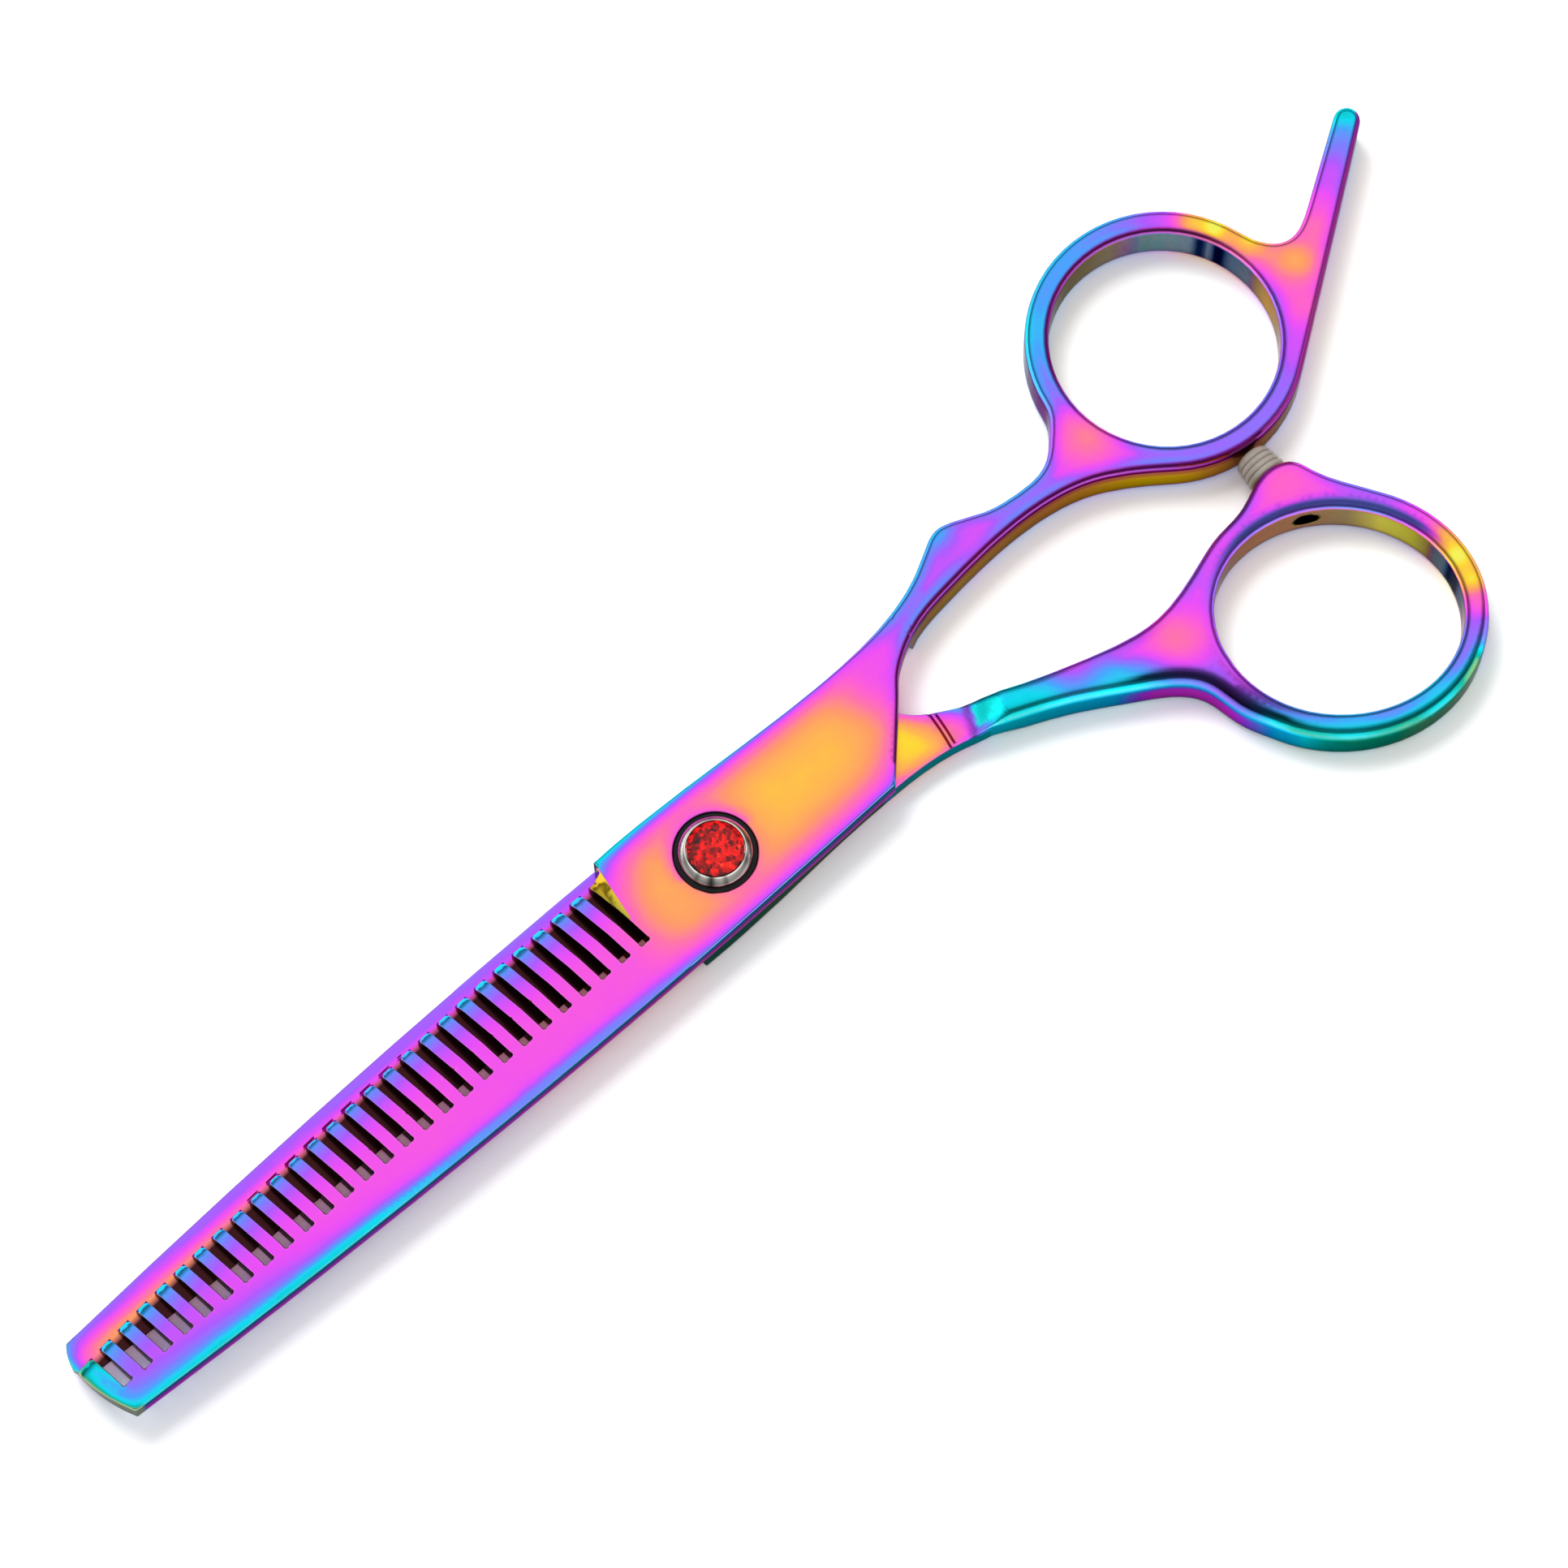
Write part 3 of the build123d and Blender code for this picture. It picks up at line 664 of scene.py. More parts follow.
# plain half: lines are the radii of the two relief grooves
plain = {
    "spacing": 0.36,
    "lines": (24.45, 24.95),
    "round": 1.05,
    "patches": [
        (28.9, -5.2, 1.6, 0.87, 0.9), (31.0, -6.6, 2.0, 0.86, 0.9), (46.2, -13.0, 3.2, 0.24, 0.85),
        (37.0, -8.4, 2.4, 0.50, 0.7), (42.0, -10.0, 1.8, 0.56, 0.6), (64.3, -8.2, 3.2, 0.38, 0.9),
        (55.0, -9.3, 4.0, 0.48, 0.6), (71.0, -19.4, 2.6, 0.46, 0.8), (71.4, -22.4, 1.8, 0.14, 0.9),
        (71.1, -24.6, 2.4, -0.05, 0.97), (70.4, -27.2, 2.0, -0.01, 0.95), (69.2, -29.6, 1.5, 0.34, 0.9),
        (67.8, -31.4, 1.9, 0.64, 0.85), (60.0, -33.5, 3.6, 0.86, 0.8), (52.0, -30.6, 4.2, 0.86, 0.7),
        (46.5, -20.0, 3.6, 0.48, 0.6), (49.5, -11.4, 2.4, 0.56, 0.6),
    ],
    # painted reflections on the thumb ring's inner wall: angle in degrees, tint, shade and pale steel
    # share
    "ringWall": [
        (-170, 0.10, 0.75, 0.6), (-90, 0.08, 0.75, 0.6), (-52, 0.04, 0.90, 0.45),
        (-42, 0.04, 0.65, 0.8), (-37, 0.80, 0.46, 0.5), (-29, 0.78, 0.36, 0.4),
        (-26, 0.76, 0.06, 0.2), (-18, 0.76, 0.08, 0.2), (-14, 0.80, 0.42, 0.7), (-7, 0.80, 0.30, 1.0),
        (-3, 0.02, 0.36, 0.4), (6, 0.00, 0.62, 0.05), (24, 0.01, 0.88, 0.1), (42, 0.08, 0.55, 0.6),
        (66, 0.14, 0.70, 0.4), (100, 0.15, 1.0, 0.25), (125, 0.10, 0.95, 0.6), (150, 0.08, 0.85, 0.9),
    ],
}


def outerSide(points):
    # 1 on the shank's and thumb ring's outer flank, 0 on the inner one
    x, y = points.T
    middle = np.interp(x, (28, 34, 40, 46, 50), (-5.6, -7.6, -10.4, -14.5, -19.0))
    onShank = softStep(middle - y, -0.9, 1.1) * softStep(x, 26.5, 28.5)
    reach = np.hypot(x - thumbX, y - thumbY)
    turn = np.degrees(np.arctan2(y - thumbY, x - thumbX))
    outward = softStep(np.cos(np.radians(turn + 122)), -0.15, 0.55)
    onRing = softStep(reach - ringMiddle(turn), -0.5, 0.5) * outward
    nearRing = softStep(x + 0.45 * y, 34, 40)
    return onShank * (1 - nearRing) + onRing * nearRing


def ringMiddle(turn):
    # radius of the thumb ring's mid-line at an angle
    a = np.radians(turn + 42.0)
    return 12.85 * 11.45 / np.hypot(11.45 * np.cos(a), 12.85 * np.sin(a))


def plainRound(points):
    reach = np.hypot(points[:, 0], points[:, 1])
    grown = softStep(np.where(points[:, 0] > 0, reach, 0), 26.5, 30.5)
    return 0.22 + (plain["round"] * (1 + 0.75 * outerSide(points)) - 0.22) * grown


def edgeY(x):
    share = (x + 74.7) / 67.7
    return 1.0 - 2.2 * share - 4 * 0.45 * share * (1 - share)


def climbAt(x, y):
    # how far up the step from the ride flat to the shank, 0 to 1
    return np.clip((np.where(x > 0, np.hypot(x, y) - 0.25 * (y + 5), 0) - 26.7) / 4.4, 0, 1)


def plainTop(points, distance):
    x, y = points.T
    reach = np.hypot(x, y)
    climb = climbAt(x, y)
    raised = climb - 0.25 * np.sin(2 * math.pi * climb) / (2 * math.pi)
    drop = roundDrop(distance, plainRound(points))
    drop = np.where((x < -6) & (y < 3), 0, drop * np.where(reach < 27, 0.5, 1.0))
    groove = sum(np.exp(-((reach - r) / 0.09) ** 2) * 0.14 for r in plain["lines"]) * (x > 0)
    return plainHigh + (handleTop - plainHigh) * raised - drop * np.maximum(raised, 0.6) - groove


def plainLowFace(points, distance):
    x, y = points.T
    reach = np.hypot(x, y)
    sunk = plainLow * (1 - softStep(np.where(x > 0, reach, 0), 27.5, 33))
    bevel = np.clip((edgeY(x) + 3.6 - y) / 3.6, 0, 1) * softStep(-x, 7.0, 8.2)
    full = plainHigh - 0.38 - plainLow
    back = np.clip((0.7 - (spineY(x) - y)) / 0.7, 0, 1) * softStep(-x, -20, 0) * 0.5
    easing = np.where(x < -7, 0.1, np.minimum(plainRound(points), plain["round"]))
    return sunk + roundDrop(distance, easing) + bevel * full + back


def paintPlain(verts, gap, onWall, normals):
    x, y, z = verts.T
    reach = np.hypot(x, y)
    turn = np.degrees(np.arctan2(y - thumbY, x - thumbX))
    fromBack = np.clip(spineY(x) - y, 0, 9)
    blade = 0.64 - 0.46 * softStep(fromBack, 0.2, 2.4)
    blade = blade + (0.90 - blade) * np.clip(1.7 * np.exp(-np.clip(x + 75.5, 0, 9) / 1.1), 0, 1)
    body = 0.04 + 0.60 * np.clip((x + 0.35 * y - 20.2) / 5.6, 0, 1) ** 1.3
    body = body + 0.25 * softStep(20.0 - x, 0, 5) + 0.3 * np.exp(-gap / 0.5)
    share = softStep(x, 8, 15)
    tint = blade * (1 - share) + body * share
    handle = softStep(x, 26.4, 29.4)
    band = np.clip(gap / 1.7, 0, 1)
    outer = outerSide(verts[:, :2])
    low = softStep(-y, 22, 29)
    outerTint = (0.90 - 0.06 * band) * (1 - low) + (0.98 - 0.14 * softStep(gap, 0.3, 0.9)) * low
    handleTint = (0.76 - 0.28 * band) * (1 - outer) + outerTint * outer
    tint = tint * (1 - handle) + handleTint * handle
    tint = patched(verts[:, :2], tint, plain["patches"])
    shade = np.ones(len(verts))
    climb = climbAt(x, y)
    # painted shade darkens the foot of the step up to the shank; the ledge slope turns cyan and gets a
    # painted highlight
    ledge = softStep(climb, 0.2, 0.32) * (1 - softStep(climb, 0.8, 1.0)) * (x > 20)
    ledge = ledge * softStep(gap, 0.15, 0.7)
    foot = softStep(climb, 0.0, 0.16) * (1 - softStep(climb, 0.2, 0.3)) * (x > 20)
    tint = tint + (0.60 - tint) * foot * 0.8
    shade = shade * (1 - 0.45 * foot)
    tint = tint + (0.86 - tint) * ledge
    shade = shade + 0.8 * ledge * softStep(gap, 0.3, 0.9)
    # painted reflection: a dark band along the rounded outer flank of the shank and thumb ring
    wide = softStep(x, 38, 44) * (1 - low)
    dark = np.exp(-((gap - 0.62 - 0.12 * wide) / (0.15 + 0.3 * wide)) ** 2) * outer * (1 - ledge)
    shade = shade * (1 - 0.94 * np.clip(dark * (0.75 + wide), 0, 1) * handle)
    # painted dark reflection on the upper rounding of the thumb ring's hole
    fromHole = np.hypot(x - thumbX, y - thumbY) - ringMiddle(turn) + 1.15
    arc = softStep(turn, -14, 10) * (1 - softStep(turn, 95, 135))
    holeRimReflection = np.exp(-((fromHole - 0.5) / 0.34) ** 2) * arc * (x > 45)
    tint = tint + (0.72 - tint) * holeRimReflection
    shade = shade * (1 - 0.8 * holeRimReflection)
    # painted shade in the two relief grooves
    for r in plain["lines"]:
        shade = shade * (1 - 0.65 * np.exp(-((reach - r) / 0.1) ** 2) * (x > 18))
    # painted highlight: a thin pale steel line just inside the top edges, none on the walls
    bare = np.clip((0.16 - gap) * 9, 0, 1) * coat["wear"]
    bare = np.where(onWall, 0.0, bare)
    deep = np.clip((handleTop - 0.9 - z) / 4.0, 0, 1)
    side = onWall & (x > 27.5) & (deep > 0.02)
    # painted shade: the plain blade's inner face under the toothed half is near black
    innerFaceShade = softStep(toothTipY(x) - y, 0.0, 0.7) * softStep(-x, 8.6, 9.6) * (z > plainHigh - 0.6)
    shade = shade * (1 - 0.955 * innerFaceShade)
    tint = tint + (0.26 - tint) * innerFaceShade
    # painted shade on the lower edge tucked under the toothed half
    underCombShade = softStep(-y, 5.5, 5.9) * (1 - softStep(x, 15.6, 16.8))
    shade = shade * (1 - 0.7 * underCombShade)
    tint = tint + (0.93 - tint) * underCombShade
    # walls: the tip wall is pale grey-green with the steel mix; the lower flat's wall and the blade's
    # lower wall darkened as painted shade and painted reflection
    tipWall = onWall & (x < -73.6) & (z < plainHigh - 0.1)
    tint = np.where(tipWall, 0.97, tint)
    shade = np.where(tipWall, 0.62, shade)
    bare = np.where(tipWall, 0.9, bare)
    lowFlat = onWall & (x > 16.4) & (x < 29) & (y < -3) & (z < plainHigh - 0.1)
    tint = np.where(lowFlat, 0.88, tint)
    shade = np.where(lowFlat, 0.55, shade)
    bladeWall = onWall & (x < 0) & (x >= -73.6) & (y > 0)
    tint = np.where(bladeWall & (z < plainHigh - 0.3), 0.86, tint)
    shade = np.where(bladeWall & (z < plainHigh - 0.3), 0.6, shade)
    innerWall = side & (np.hypot(x - thumbX, y - thumbY) < 12.1)
    flank = 0.84 + 0.10 * softStep(-y, 26, 30)
    flank = flank - 0.36 * softStep(y, -26, -20) * softStep(x, 38, 42) * softStep(deep, 0.2, 0.5)
    # painted shade on the side walls: dark just under the top edge, darker towards the bottom
    tint = np.where(side, np.where(deep < 0.1, 0.86, flank), tint)
    shade = np.where(side, np.where(deep < 0.1, 0.5, 0.8 - 0.25 * deep), shade)
    # painted reflections on the thumb ring's inner wall, set by angle
    innerTint, innerShade, innerSheen = byAngle(turn, plain["ringWall"])
    tint = np.where(innerWall, innerTint, tint)
    lit = innerShade * (0.75 + 0.3 * deep) * softStep(deep, -0.06, 0.1)
    shade = np.where(innerWall, lit, shade)
    bare = np.where(innerWall, innerSheen, bare)
    rim = side & (y > -8.6) & (x > 50) | side & (x > 27.5) & (x < 45) & (y > -0.36 * x + 4.4)
    tint = np.where(rim, 0.06, tint)
    return tint, shade, bare


print("plain half")
bladeLoops = sliceLoops("plain_half", plainHigh - 0.2)
ringLoops = sliceLoops("plain_half", plainLow + 0.55)
plainLoops = [evenLoop(joinLoops(bladeLoops[0], ringLoops[0], 21.0), plain["spacing"], True)]
# the tip's corner reaches further out, and the lower edge tucks in under the toothed half
outline = plainLoops[0]
outline[:, 0] -= 0.55 * softStep(-outline[:, 0], 72.0, 74.2) * softStep(outline[:, 1], 1.2, 2.6)
outline[:, 1] += 0.16 * softStep(-outline[:, 1], 5.4, 6.2) * (1 - softStep(outline[:, 0], 8, 18))
plainLoops += [
    evenLoop(loop, plain["spacing"], False) for loop in ringLoops[1:]
    if loop.mean(axis=0)[0] > 20 and abs(loopArea(loop)) > 100
]
plainLoops.append(circleLoop(0, 0, nodeBox("tension_nut")[1][0] + 0.3, 72)[::-1])
plainCreases = [arcPoints(26.0 + 0.4 * step, -25, 12, 0.45) for step in range(12)]
plainCreases += [
    arcPoints(r + shift, -25, 12, 0.35) for r in plain["lines"] for shift in (-0.14, 0.0, 0.14)
]
lowX = np.arange(-74, -7, 0.6)
bladeX = lowX[lowX < -9]
plainCreases += [np.stack([bladeX, toothTipY(bladeX) - fall], axis=1) for fall in (0.0, 0.35, 0.7)]
plainCreases.append(np.stack([lowX, edgeY(lowX) + 3.6], axis=1))
plainPiece = buildHalf("coated_plain_half", plainLoops, plainRound, plainTop, plainLowFace,
                       paintPlain, plainCreases)
plainPiece.data.materials.append(coatedSteel("rainbowPlain", (0.06, 1.0, 1.0)))
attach(plainPiece, "plain")
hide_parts("plain_half")


def lathe(name, profile, count, smooth=35):
    # profile: radius and height pairs in mm, from the axis outwards and back
    rows = []
    verts = []
    for radius, height in profile:
        if radius < 1e-6:
            rows.append([len(verts)] * count)
            verts.append((0, 0, height))
            continue
        rows.append([len(verts) + i for i in range(count)])
        for i in range(count):
            a = 2 * math.pi * i / count
            verts.append((radius * math.cos(a), radius * math.sin(a), height))
    faces = []
    for lower, upper in zip(rows, rows[1:]):
        for i in range(count):
            j = (i + 1) % count
            face = []
            for index in (lower[i], lower[j], upper[j], upper[i]):
                if index not in face:
                    face.append(index)
            if len(face) > 2:
                faces.append(face)
    mesh = bpy.data.meshes.new(name)
    mesh.from_pydata([tuple(c * mm for c in v) for v in verts], [], faces)
    made = bmesh.new()
    made.from_mesh(mesh)
    bmesh.ops.recalc_face_normals(made, faces=made.faces)
    made.to_mesh(mesh)
    made.free()
    mesh.shade_smooth()
    mesh.set_sharp_from_angle(angle=math.radians(smooth))
    piece = bpy.data.objects.new(name, mesh)
    bpy.context.collection.objects.link(piece)
    return piece


def steelFinish(name, code, rough, scale=300.0, ring=False, paintedReflection=False):
    steel = Finish(name, Metallic=1.0)
    smear = steel.noise(scale, 4.0, 0.6, stretch=(1, 1, 6) if ring else None)
    spots = steel.noise(scale * 5, 2.0)
    made = steel.blend(smear * 0.5, tone(code), tone(code, 0.62))
    if paintedReflection:
        shade = steel.add("Attribute", {"attribute_name": "shade"}, out=2)
        made = steel.blend(1.0, made, Val(grey(steel, shade)), "MULTIPLY")
    steel.feed("Base Color", made)
    steel.feed("Roughness", smear * 0.14 + spots * 0.05 + (rough - 0.08))
    steel.bump(smear * 0.7 + spots * 0.3, 0.12, 0.00005)
    return steel.material


print("pivot")
screwBox = nodeBox("pivot_screw")
washerBox = nodeBox("head_washer")
stoneBox = nodeBox("pivot_jewel")
headLow = washerBox[1][2]
screwTop = screwBox[1][2]
headR = screwBox[1][0]
stoneR = stoneBox[1][0]
bezel = {
    "seat": 0.5, "shankR": 2.16, "threadR": 1.95, "threads": 4,
    # painted dark reflections on the turned bezel: angle, width and depth
    "dips": [(221, 0.13, 0.95), (246, 0.07, 0.6), (196, 0.06, 0.6), (300, 0.2, 0.6), (335, 0.12, 0.4),
             (160, 0.2, 0.35), (60, 0.35, 0.45)],
}
headProfile = [(0, screwTop - bezel["seat"]), (stoneR + 0.03, screwTop - bezel["seat"]),
               (stoneR + 0.03, screwTop - 0.06), (stoneR + 0.07, screwTop),
               (stoneR + 0.15, screwTop - 0.005), (stoneR + 0.23, screwTop - 0.06),
               (headR - 0.10, headLow + 0.52), (headR - 0.03, headLow + 0.44),
               (headR, headLow + 0.36), (headR, headLow + 0.08), (headR - 0.08, headLow),
               (bezel["shankR"], headLow), (bezel["shankR"], 1.6)]
for turn in range(bezel["threads"] * 2):
    height = 1.55 - turn * 0.19
    headProfile.append((bezel["threadR"] - (0.12 if turn % 2 else 0.0), height))
headProfile += [(bezel["threadR"] - 0.1, 0.1), (bezel["threadR"] - 0.2, screwBox[0][2]),
                (0, screwBox[0][2])]
screwPiece = lathe("jewel_screw", headProfile, 96)
# painted dark reflections, kept as a shade attribute on the screw
reflectionLayer = screwPiece.data.attributes.new("shade", "FLOAT", "POINT")
for index, vert in enumerate(screwPiece.data.vertices):
    a = math.atan2(vert.co.y, vert.co.x)
    reflectionDark = sum(deep * math.exp(-((math.remainder(a - math.radians(t), 2 * math.pi)) / wide) ** 2)
              for t, wide, deep in bezel["dips"])
    reflectionLayer.data[index].value = 1.0 - min(reflectionDark, 0.92)
screwPiece.data.materials.append(steelFinish("screwSteel", "f6f2ea", 0.16, ring=True, paintedReflection=True))
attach(screwPiece, "comb")
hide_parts("pivot_screw")


def cutStone(name, radius, low, high):
    # a brilliant-cut crown over a plain base
    sides = 16
    crown = high - low - 0.62
    rings = [(radius * 0.6, low, 0.5), (radius * 0.985, low + 0.42, 0.0), (radius, low + 0.56, 0.0),
             (radius, low + 0.62, 0.0), (radius * 0.80, low + 0.62 + crown * 0.58, 0.5),
             (radius * 0.53, high, 0.0)]
    made = bmesh.new()
    rows = []
    for r, z, shift in rings:
        row = []
        for i in range(sides):
            a = 2 * math.pi * (i + shift) / sides
            row.append(made.verts.new((r * math.cos(a) * mm, r * math.sin(a) * mm, z * mm)))
        rows.append(row)
    for k in range(len(rows) - 1):
        lower, upper = rows[k], rows[k + 1]
        late = rings[k][2] > rings[k + 1][2]
        for i in range(sides):
            j = (i + 1) % sides
            if rings[k][2] == rings[k + 1][2]:
                made.faces.new((lower[i], lower[j], upper[j], upper[i]))
            elif late:
                made.faces.new((lower[i], upper[j], upper[i]))
                made.faces.new((lower[i], lower[j], upper[j]))
            else:
                made.faces.new((lower[i], lower[j], upper[i]))
                made.faces.new((lower[j], upper[j], upper[i]))
    made.faces.new(rows[-1])
    made.faces.new(rows[0][::-1])
    bmesh.ops.recalc_face_normals(made, faces=made.faces)
    mesh = bpy.data.meshes.new(name)
    made.to_mesh(mesh)
    made.free()
    facet = mesh.attributes.new("facet", "FLOAT", "FACE")
    values = []
    for face in mesh.polygons:
        a = math.atan2(face.center.y, face.center.x)
        outward = math.hypot(face.center.x, face.center.y) / (radius * mm)
        # painted light: outer crown facets darker, one side lighter, and a random brightness for each
        # facet
        base = 0.5 - 0.22 * (outward > 0.6) + 0.16 * math.sin(a + 2.6)
        values.append(base + random.uniform(-0.3, 0.3))
    facet.data.foreach_set("value", values)
    piece = bpy.data.objects.new(name, mesh)
    bpy.context.collection.objects.link(piece)
    return piece


stonePiece = cutStone("cut_stone", stoneR, stoneBox[0][2], stoneBox[1][2])
stone = Finish("redStone", Specular_IOR_Level=0.25, Coat_Weight=0.12, Coat_Roughness=0.02)
facet = stone.add("Attribute", {"attribute_name": "facet"}, out=2)
inside = stone.noise(900.0, 2.0, warp=1.5)
where = stone.add("TexCoord", out=3)
# painted glints: small bright specks across the stone
glintSpecks = stone.add("TexVoronoi", {"feature": "F1"}, out=1, Vector=where, Scale=2900.0)
stoneStops = [(0.0, tone("240002")), (0.28, tone("680004")), (0.52, tone("b40405")),
              (0.8, tone("ea0e08")), (1.0, tone("ff4c2c"))]
glint = facet * 0.5 + glintSpecks * 0.75 + (inside - 0.5) * 0.4 - 0.1
stone.feed("Base Color", stone.add("ValToRGB", {"stops": stoneStops}, Fac=glint))
stone.feed("Roughness", inside * 0.12 + 0.06)
stonePiece.data.materials.append(stone.material)
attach(stonePiece, "comb")
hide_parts("pivot_jewel")

print("tension nut")
nutBox = nodeBox("tension_nut")
nutR = nutBox[1][0]
nutTop = nutBox[1][2]
nutPiece = lathe("grooved_nut", [
    (bezel["threadR"] + 0.06, nutTop), (bezel["threadR"] + 0.06, 0.12), (bezel["threadR"] + 0.2, 0.0),
    (nutR - 0.22, 0.0), (nutR - 0.08, 0.04), (nutR - 0.02, 0.12), (nutR, 0.2), (nutR, nutTop - 0.15),
    (nutR - 0.1, nutTop), (bezel["threadR"] + 0.06, nutTop)], 144)
for vert in nutPiece.data.vertices:
    x, y = vert.co.x / mm, vert.co.y / mm
    if math.hypot(x, y) > nutR - 0.3:
        wave = max(0.0, math.cos(math.atan2(y, x) * 36)) ** 2
        vert.co.x *= 1 - 0.035 * wave
        vert.co.y *= 1 - 0.035 * wave
nutPiece.data.materials.append(steelFinish("nutSteel", "cfcfd4", 0.2, ring=True))
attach(nutPiece, "nut")
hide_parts("tension_nut")

print("bumper")
bore = {"radius": 1.08, "length": 10.0, "sides": 40}
padBox = nodeBox("bumper_pad")
stemBox = nodeBox("bumper_stem")
padMid = Vector((padBox[0] + padBox[1]) / 2)
stemMid = Vector((stemBox[0] + stemBox[1]) / 2)
pointing = (padMid - stemMid).normalized()
pad = {"length": 2.95, "radius": 2.1, "ribs": 4, "groove": 0.2}
padProfile = [(0, 0), (pad["radius"] - 0.25, 0)]
for i in range(49):
    share = i / 48
    swell = pad["radius"] - 0.34 * share
    ridge = abs(math.sin(share * math.pi * pad["ribs"])) ** 0.6
    padProfile.append((swell - pad["groove"] * (1 - ridge), 0.05 + share * (pad["length"] - 0.45)))
for i in range(1, 9):
    a = math.pi / 2 * i / 8
    padProfile.append(((pad["radius"] - 0.55) * math.cos(a), pad["length"] - 0.4 + 0.4 * math.sin(a)))
padProfile[-1] = (0, pad["length"])
stemFoot = stemMid - pointing * (bore["length"] * 0.5)
# the stem's bore, cut along the bumper's axis
drill = lathe("drill", [(0, -0.1), (bore["radius"], -0.1), (bore["radius"], bore["length"]),
                        (0, bore["length"])], bore["sides"])
aim = pointing.to_track_quat("Z", "Y").to_matrix().to_4x4()
drill.data.transform(Matrix.Translation(stemFoot * mm) @ aim)
cutter = plainPiece.modifiers.new("bore", "BOOLEAN")
cutter.operation = "DIFFERENCE"
cutter.solver = "EXACT"
cutter.object = drill
bpy.context.view_layer.objects.active = plainPiece
with bpy.context.temp_override(object=plainPiece, active_object=plainPiece):
    bpy.ops.object.modifier_apply(modifier="bore")
bpy.data.objects.remove(drill)
padPiece = lathe("ribbed_pad", padProfile, 72)
padFoot = padMid - pointing * (pad["length"] / 2)
turned = pointing.to_track_quat("Z", "Y").to_matrix().to_4x4()
padPiece.data.transform(Matrix.Translation(padFoot * mm) @ turned)
rubber = Finish("greyRubber", Subsurface_Weight=0.35, Subsurface_Scale=0.0008, IOR=1.45)
mottle = rubber.noise(500.0, 4.0, 0.6)
grit = rubber.noise(2600.0, 2.0)
rubber.feed("Base Color", rubber.blend(mottle, tone("aaa39a"), tone("5e5850")))
rubber.feed("Roughness", mottle * 0.2 + 0.3)
rubber.bump(mottle * 0.5 + grit * 0.5, 0.25, 0.00008)
padPiece.data.materials.append(rubber.material)
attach(padPiece, "plain")
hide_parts("bumper_pad")


def nylonFinish(name, dark, light, rough):
    nylon = Finish(name, Specular_IOR_Level=0.25)
    cloud = nylon.noise(400.0, 3.0)
    specks = nylon.noise(3000.0, 2.0)
    nylon.feed("Base Color", nylon.blend(cloud, tone(dark), tone(light)))
    nylon.feed("Roughness", cloud * 0.15 + rough)
    nylon.bump(specks, 0.15, 0.00004)
    return nylon.material


def dress(node, material):
    # small hidden hardware keeps its own solid
    piece = frame["nodes"][node]
    piece.data.materials.clear()
    piece.data.materials.append(material)


dress("head_washer", nylonFinish("blackNylon", "030303", "0a0a0b", 0.4))
dress("ride_washer", nylonFinish("whiteNylon", "e4e4de", "cfcfc6", 0.4))
dress("thrust_washer", steelFinish("washerSteel", "a8a8a8", 0.32))
dress("bumper_stem", steelFinish("stemSteel", "9c9c9c", 0.3))

# the spring washer is a copy of its own
springNode = frame["nodes"]["spring_washer"]
springBox = nodeBox("spring_washer")
springHigh = springBox[1][2] - springBox[0][2]
joints = frame["record"]["behaviour"]["joints"]
nutTravel = [joint for joint in joints if joint["name"] == "tension_travel"][0]
nutRise = nutTravel["range_m"][1] / mm
springPiece = bpy.data.objects.new("coned_spring", springNode.data.copy())
bpy.context.collection.objects.link(springPiece)
springPiece.data.materials.clear()
springPiece.data.materials.append(steelFinish("springSteel", "77736c", 0.3))
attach(springPiece, "plain")
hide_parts("spring_washer")
1 - nutRise / springHigh
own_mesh(springPiece)

print("studio")
stage = {"floor": 3.0, "sky": 1.0, "key": 6.0, "fill": 0.4}
bpy.ops.mesh.primitive_grid_add(x_subdivisions=8, y_subdivisions=8, size=stage["floor"])
floor = bpy.context.object
floor.name = "floor"
paper = Finish("paleFloor", Specular_IOR_Level=0.1)
paperCloud = paper.noise(40.0, 3.0)
paper.feed("Base Color", paper.blend(paperCloud, tone("f6f6f6"), tone("fafafa")))
paper.feed("Roughness", paperCloud * 0.1 + 0.8)
floor.data.materials.append(paper.material)

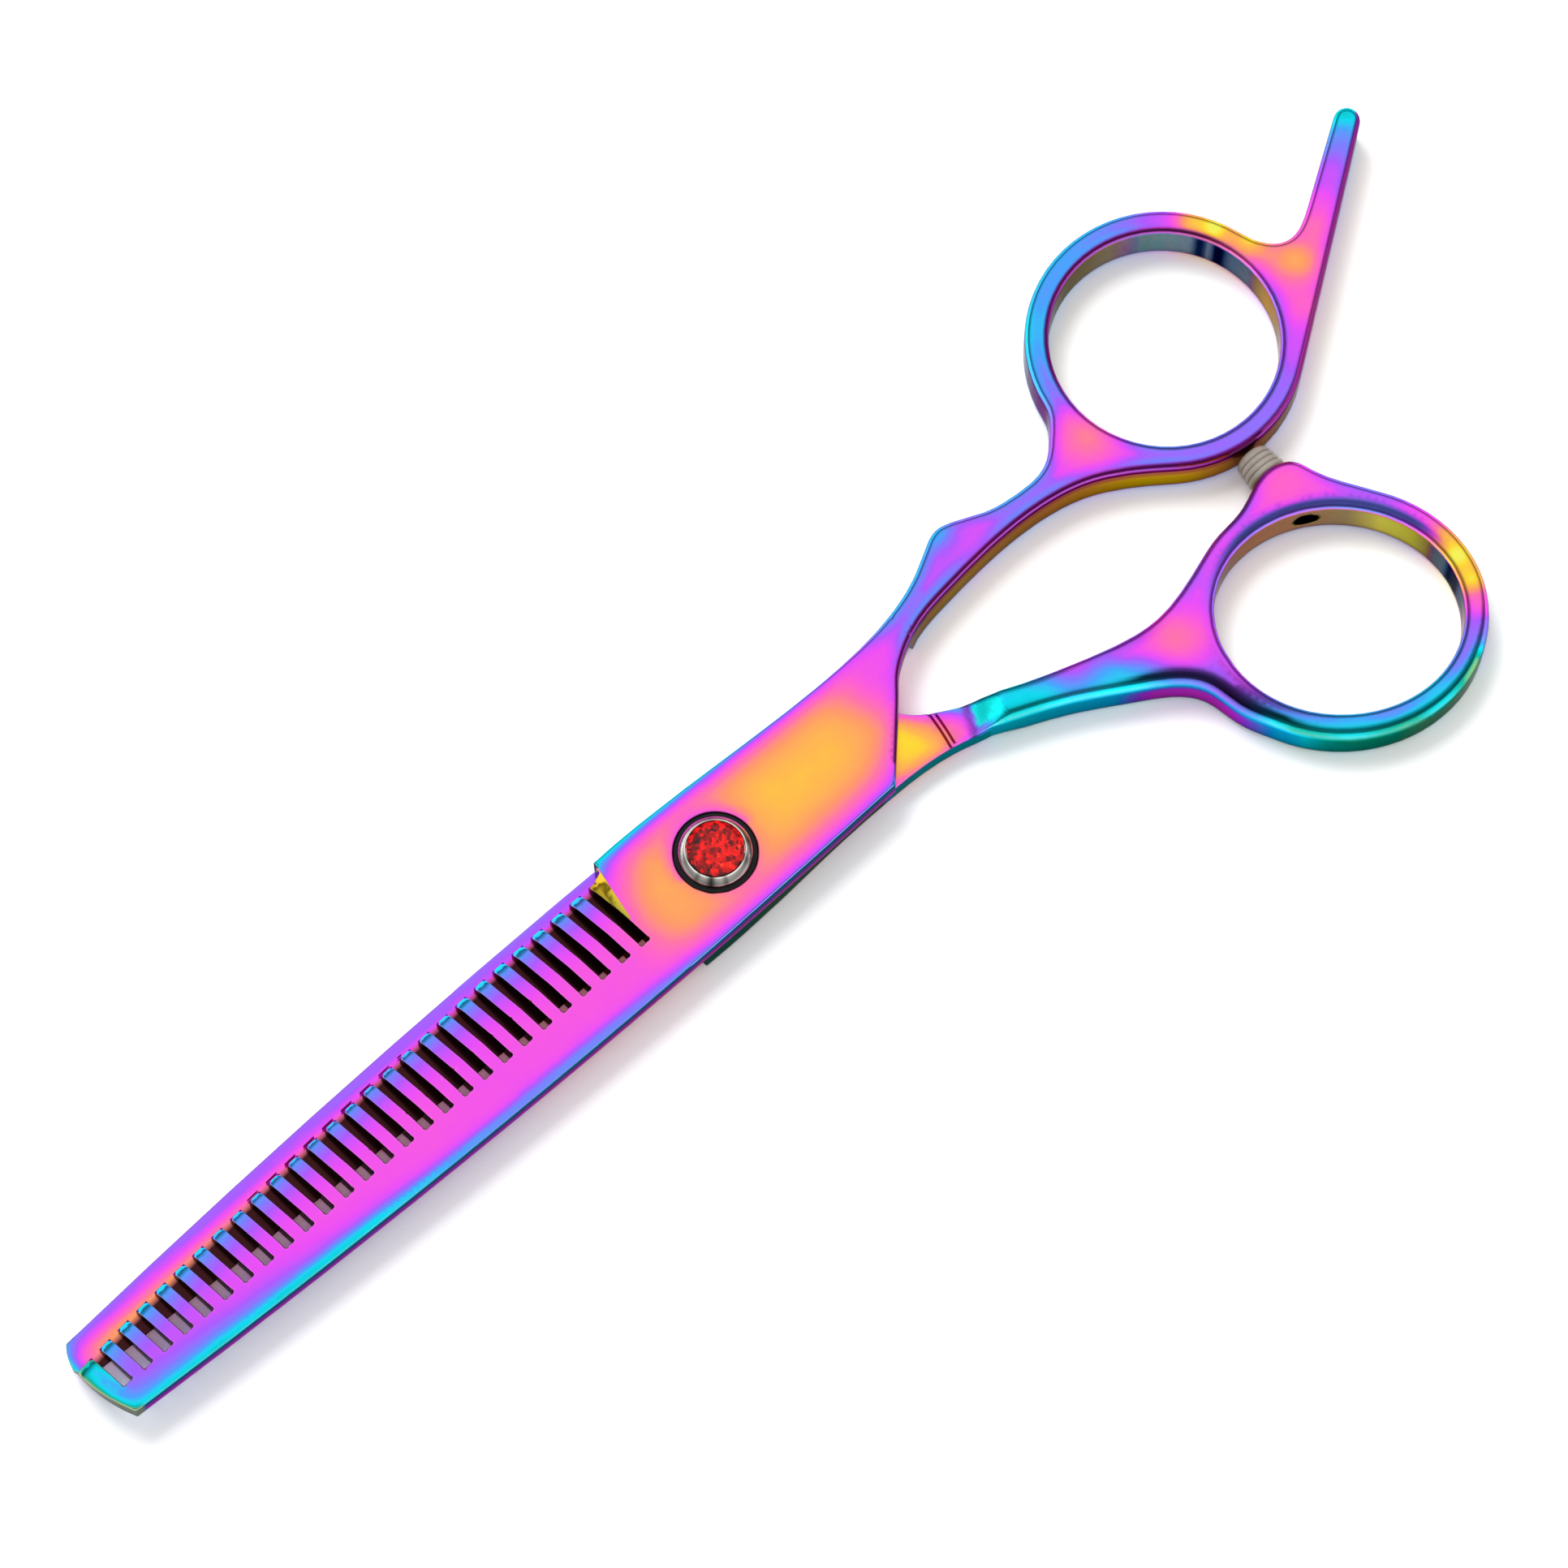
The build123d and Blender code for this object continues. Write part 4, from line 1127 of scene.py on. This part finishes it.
world = bpy.data.worlds.new("softStudio")
bpy.context.scene.world = world
world.use_nodes = True
tree = world.node_tree
back = tree.nodes["Background"]
where = tree.nodes.new("ShaderNodeTexCoord")
parts = tree.nodes.new("ShaderNodeSeparateXYZ")
ramp = tree.nodes.new("ShaderNodeValToRGB")
fillRamp(ramp.color_ramp, [(0.0, (0.5, 0.5, 0.5, 1)), (0.12, (0.16, 0.16, 0.16, 1)),
                           (0.38, (0.5, 0.5, 0.5, 1)), (0.6, (1, 1, 1, 1)), (1.0, (1, 1, 1, 1))])
tree.links.new(where.outputs["Generated"], parts.inputs[0])
tree.links.new(parts.outputs[2], ramp.inputs[0])
tree.links.new(ramp.outputs[0], back.inputs[0])
back.inputs[1].default_value = stage["sky"]


def softbox(name, place, aim, size, power, tint=(1, 1, 1)):
    lamp = bpy.data.lights.new(name, "AREA")
    lamp.shape = "SQUARE"
    lamp.size = size
    lamp.energy = power
    lamp.color = tint
    box = bpy.data.objects.new(name, lamp)
    box.location = place
    box.rotation_mode = "QUATERNION"
    box.rotation_quaternion = (Vector(aim) - Vector(place)).to_track_quat("-Z", "Y")
    box.visible_glossy = False  # the polish mirrors the room, not this box
    bpy.context.collection.objects.link(box)
    return box


softbox("keyBox", (0.05, 0.45, 0.75), (0, 0, 0), 0.45, stage["key"])

shot = {"azimuth": -42.0, "elevation": 70.0, "distance": 0.6038, "lens": 150.2,
        "aim": (0.0092, 0.0008, 0.0052)}
lens = bpy.data.cameras.new("camera")
camera = bpy.data.objects.new("camera", lens)
bpy.context.collection.objects.link(camera)
bpy.context.scene.camera = camera
lens.lens = shot["lens"]
lens.sensor_width = 36.0
lens.clip_start = 0.01
a, e = math.radians(shot["azimuth"]), math.radians(shot["elevation"])
away = Vector((math.sin(a) * math.cos(e), -math.cos(a) * math.cos(e), math.sin(e)))
camera.location = Vector(shot["aim"]) + away * shot["distance"]
camera.rotation_mode = "QUATERNION"
camera.rotation_quaternion = (-away).to_track_quat("-Z", "Y")
softbox("fillBox", camera.location, (0, 0, 0), 0.12, stage["fill"])
bpy.context.scene.view_settings.view_transform = "Standard"

print("done")
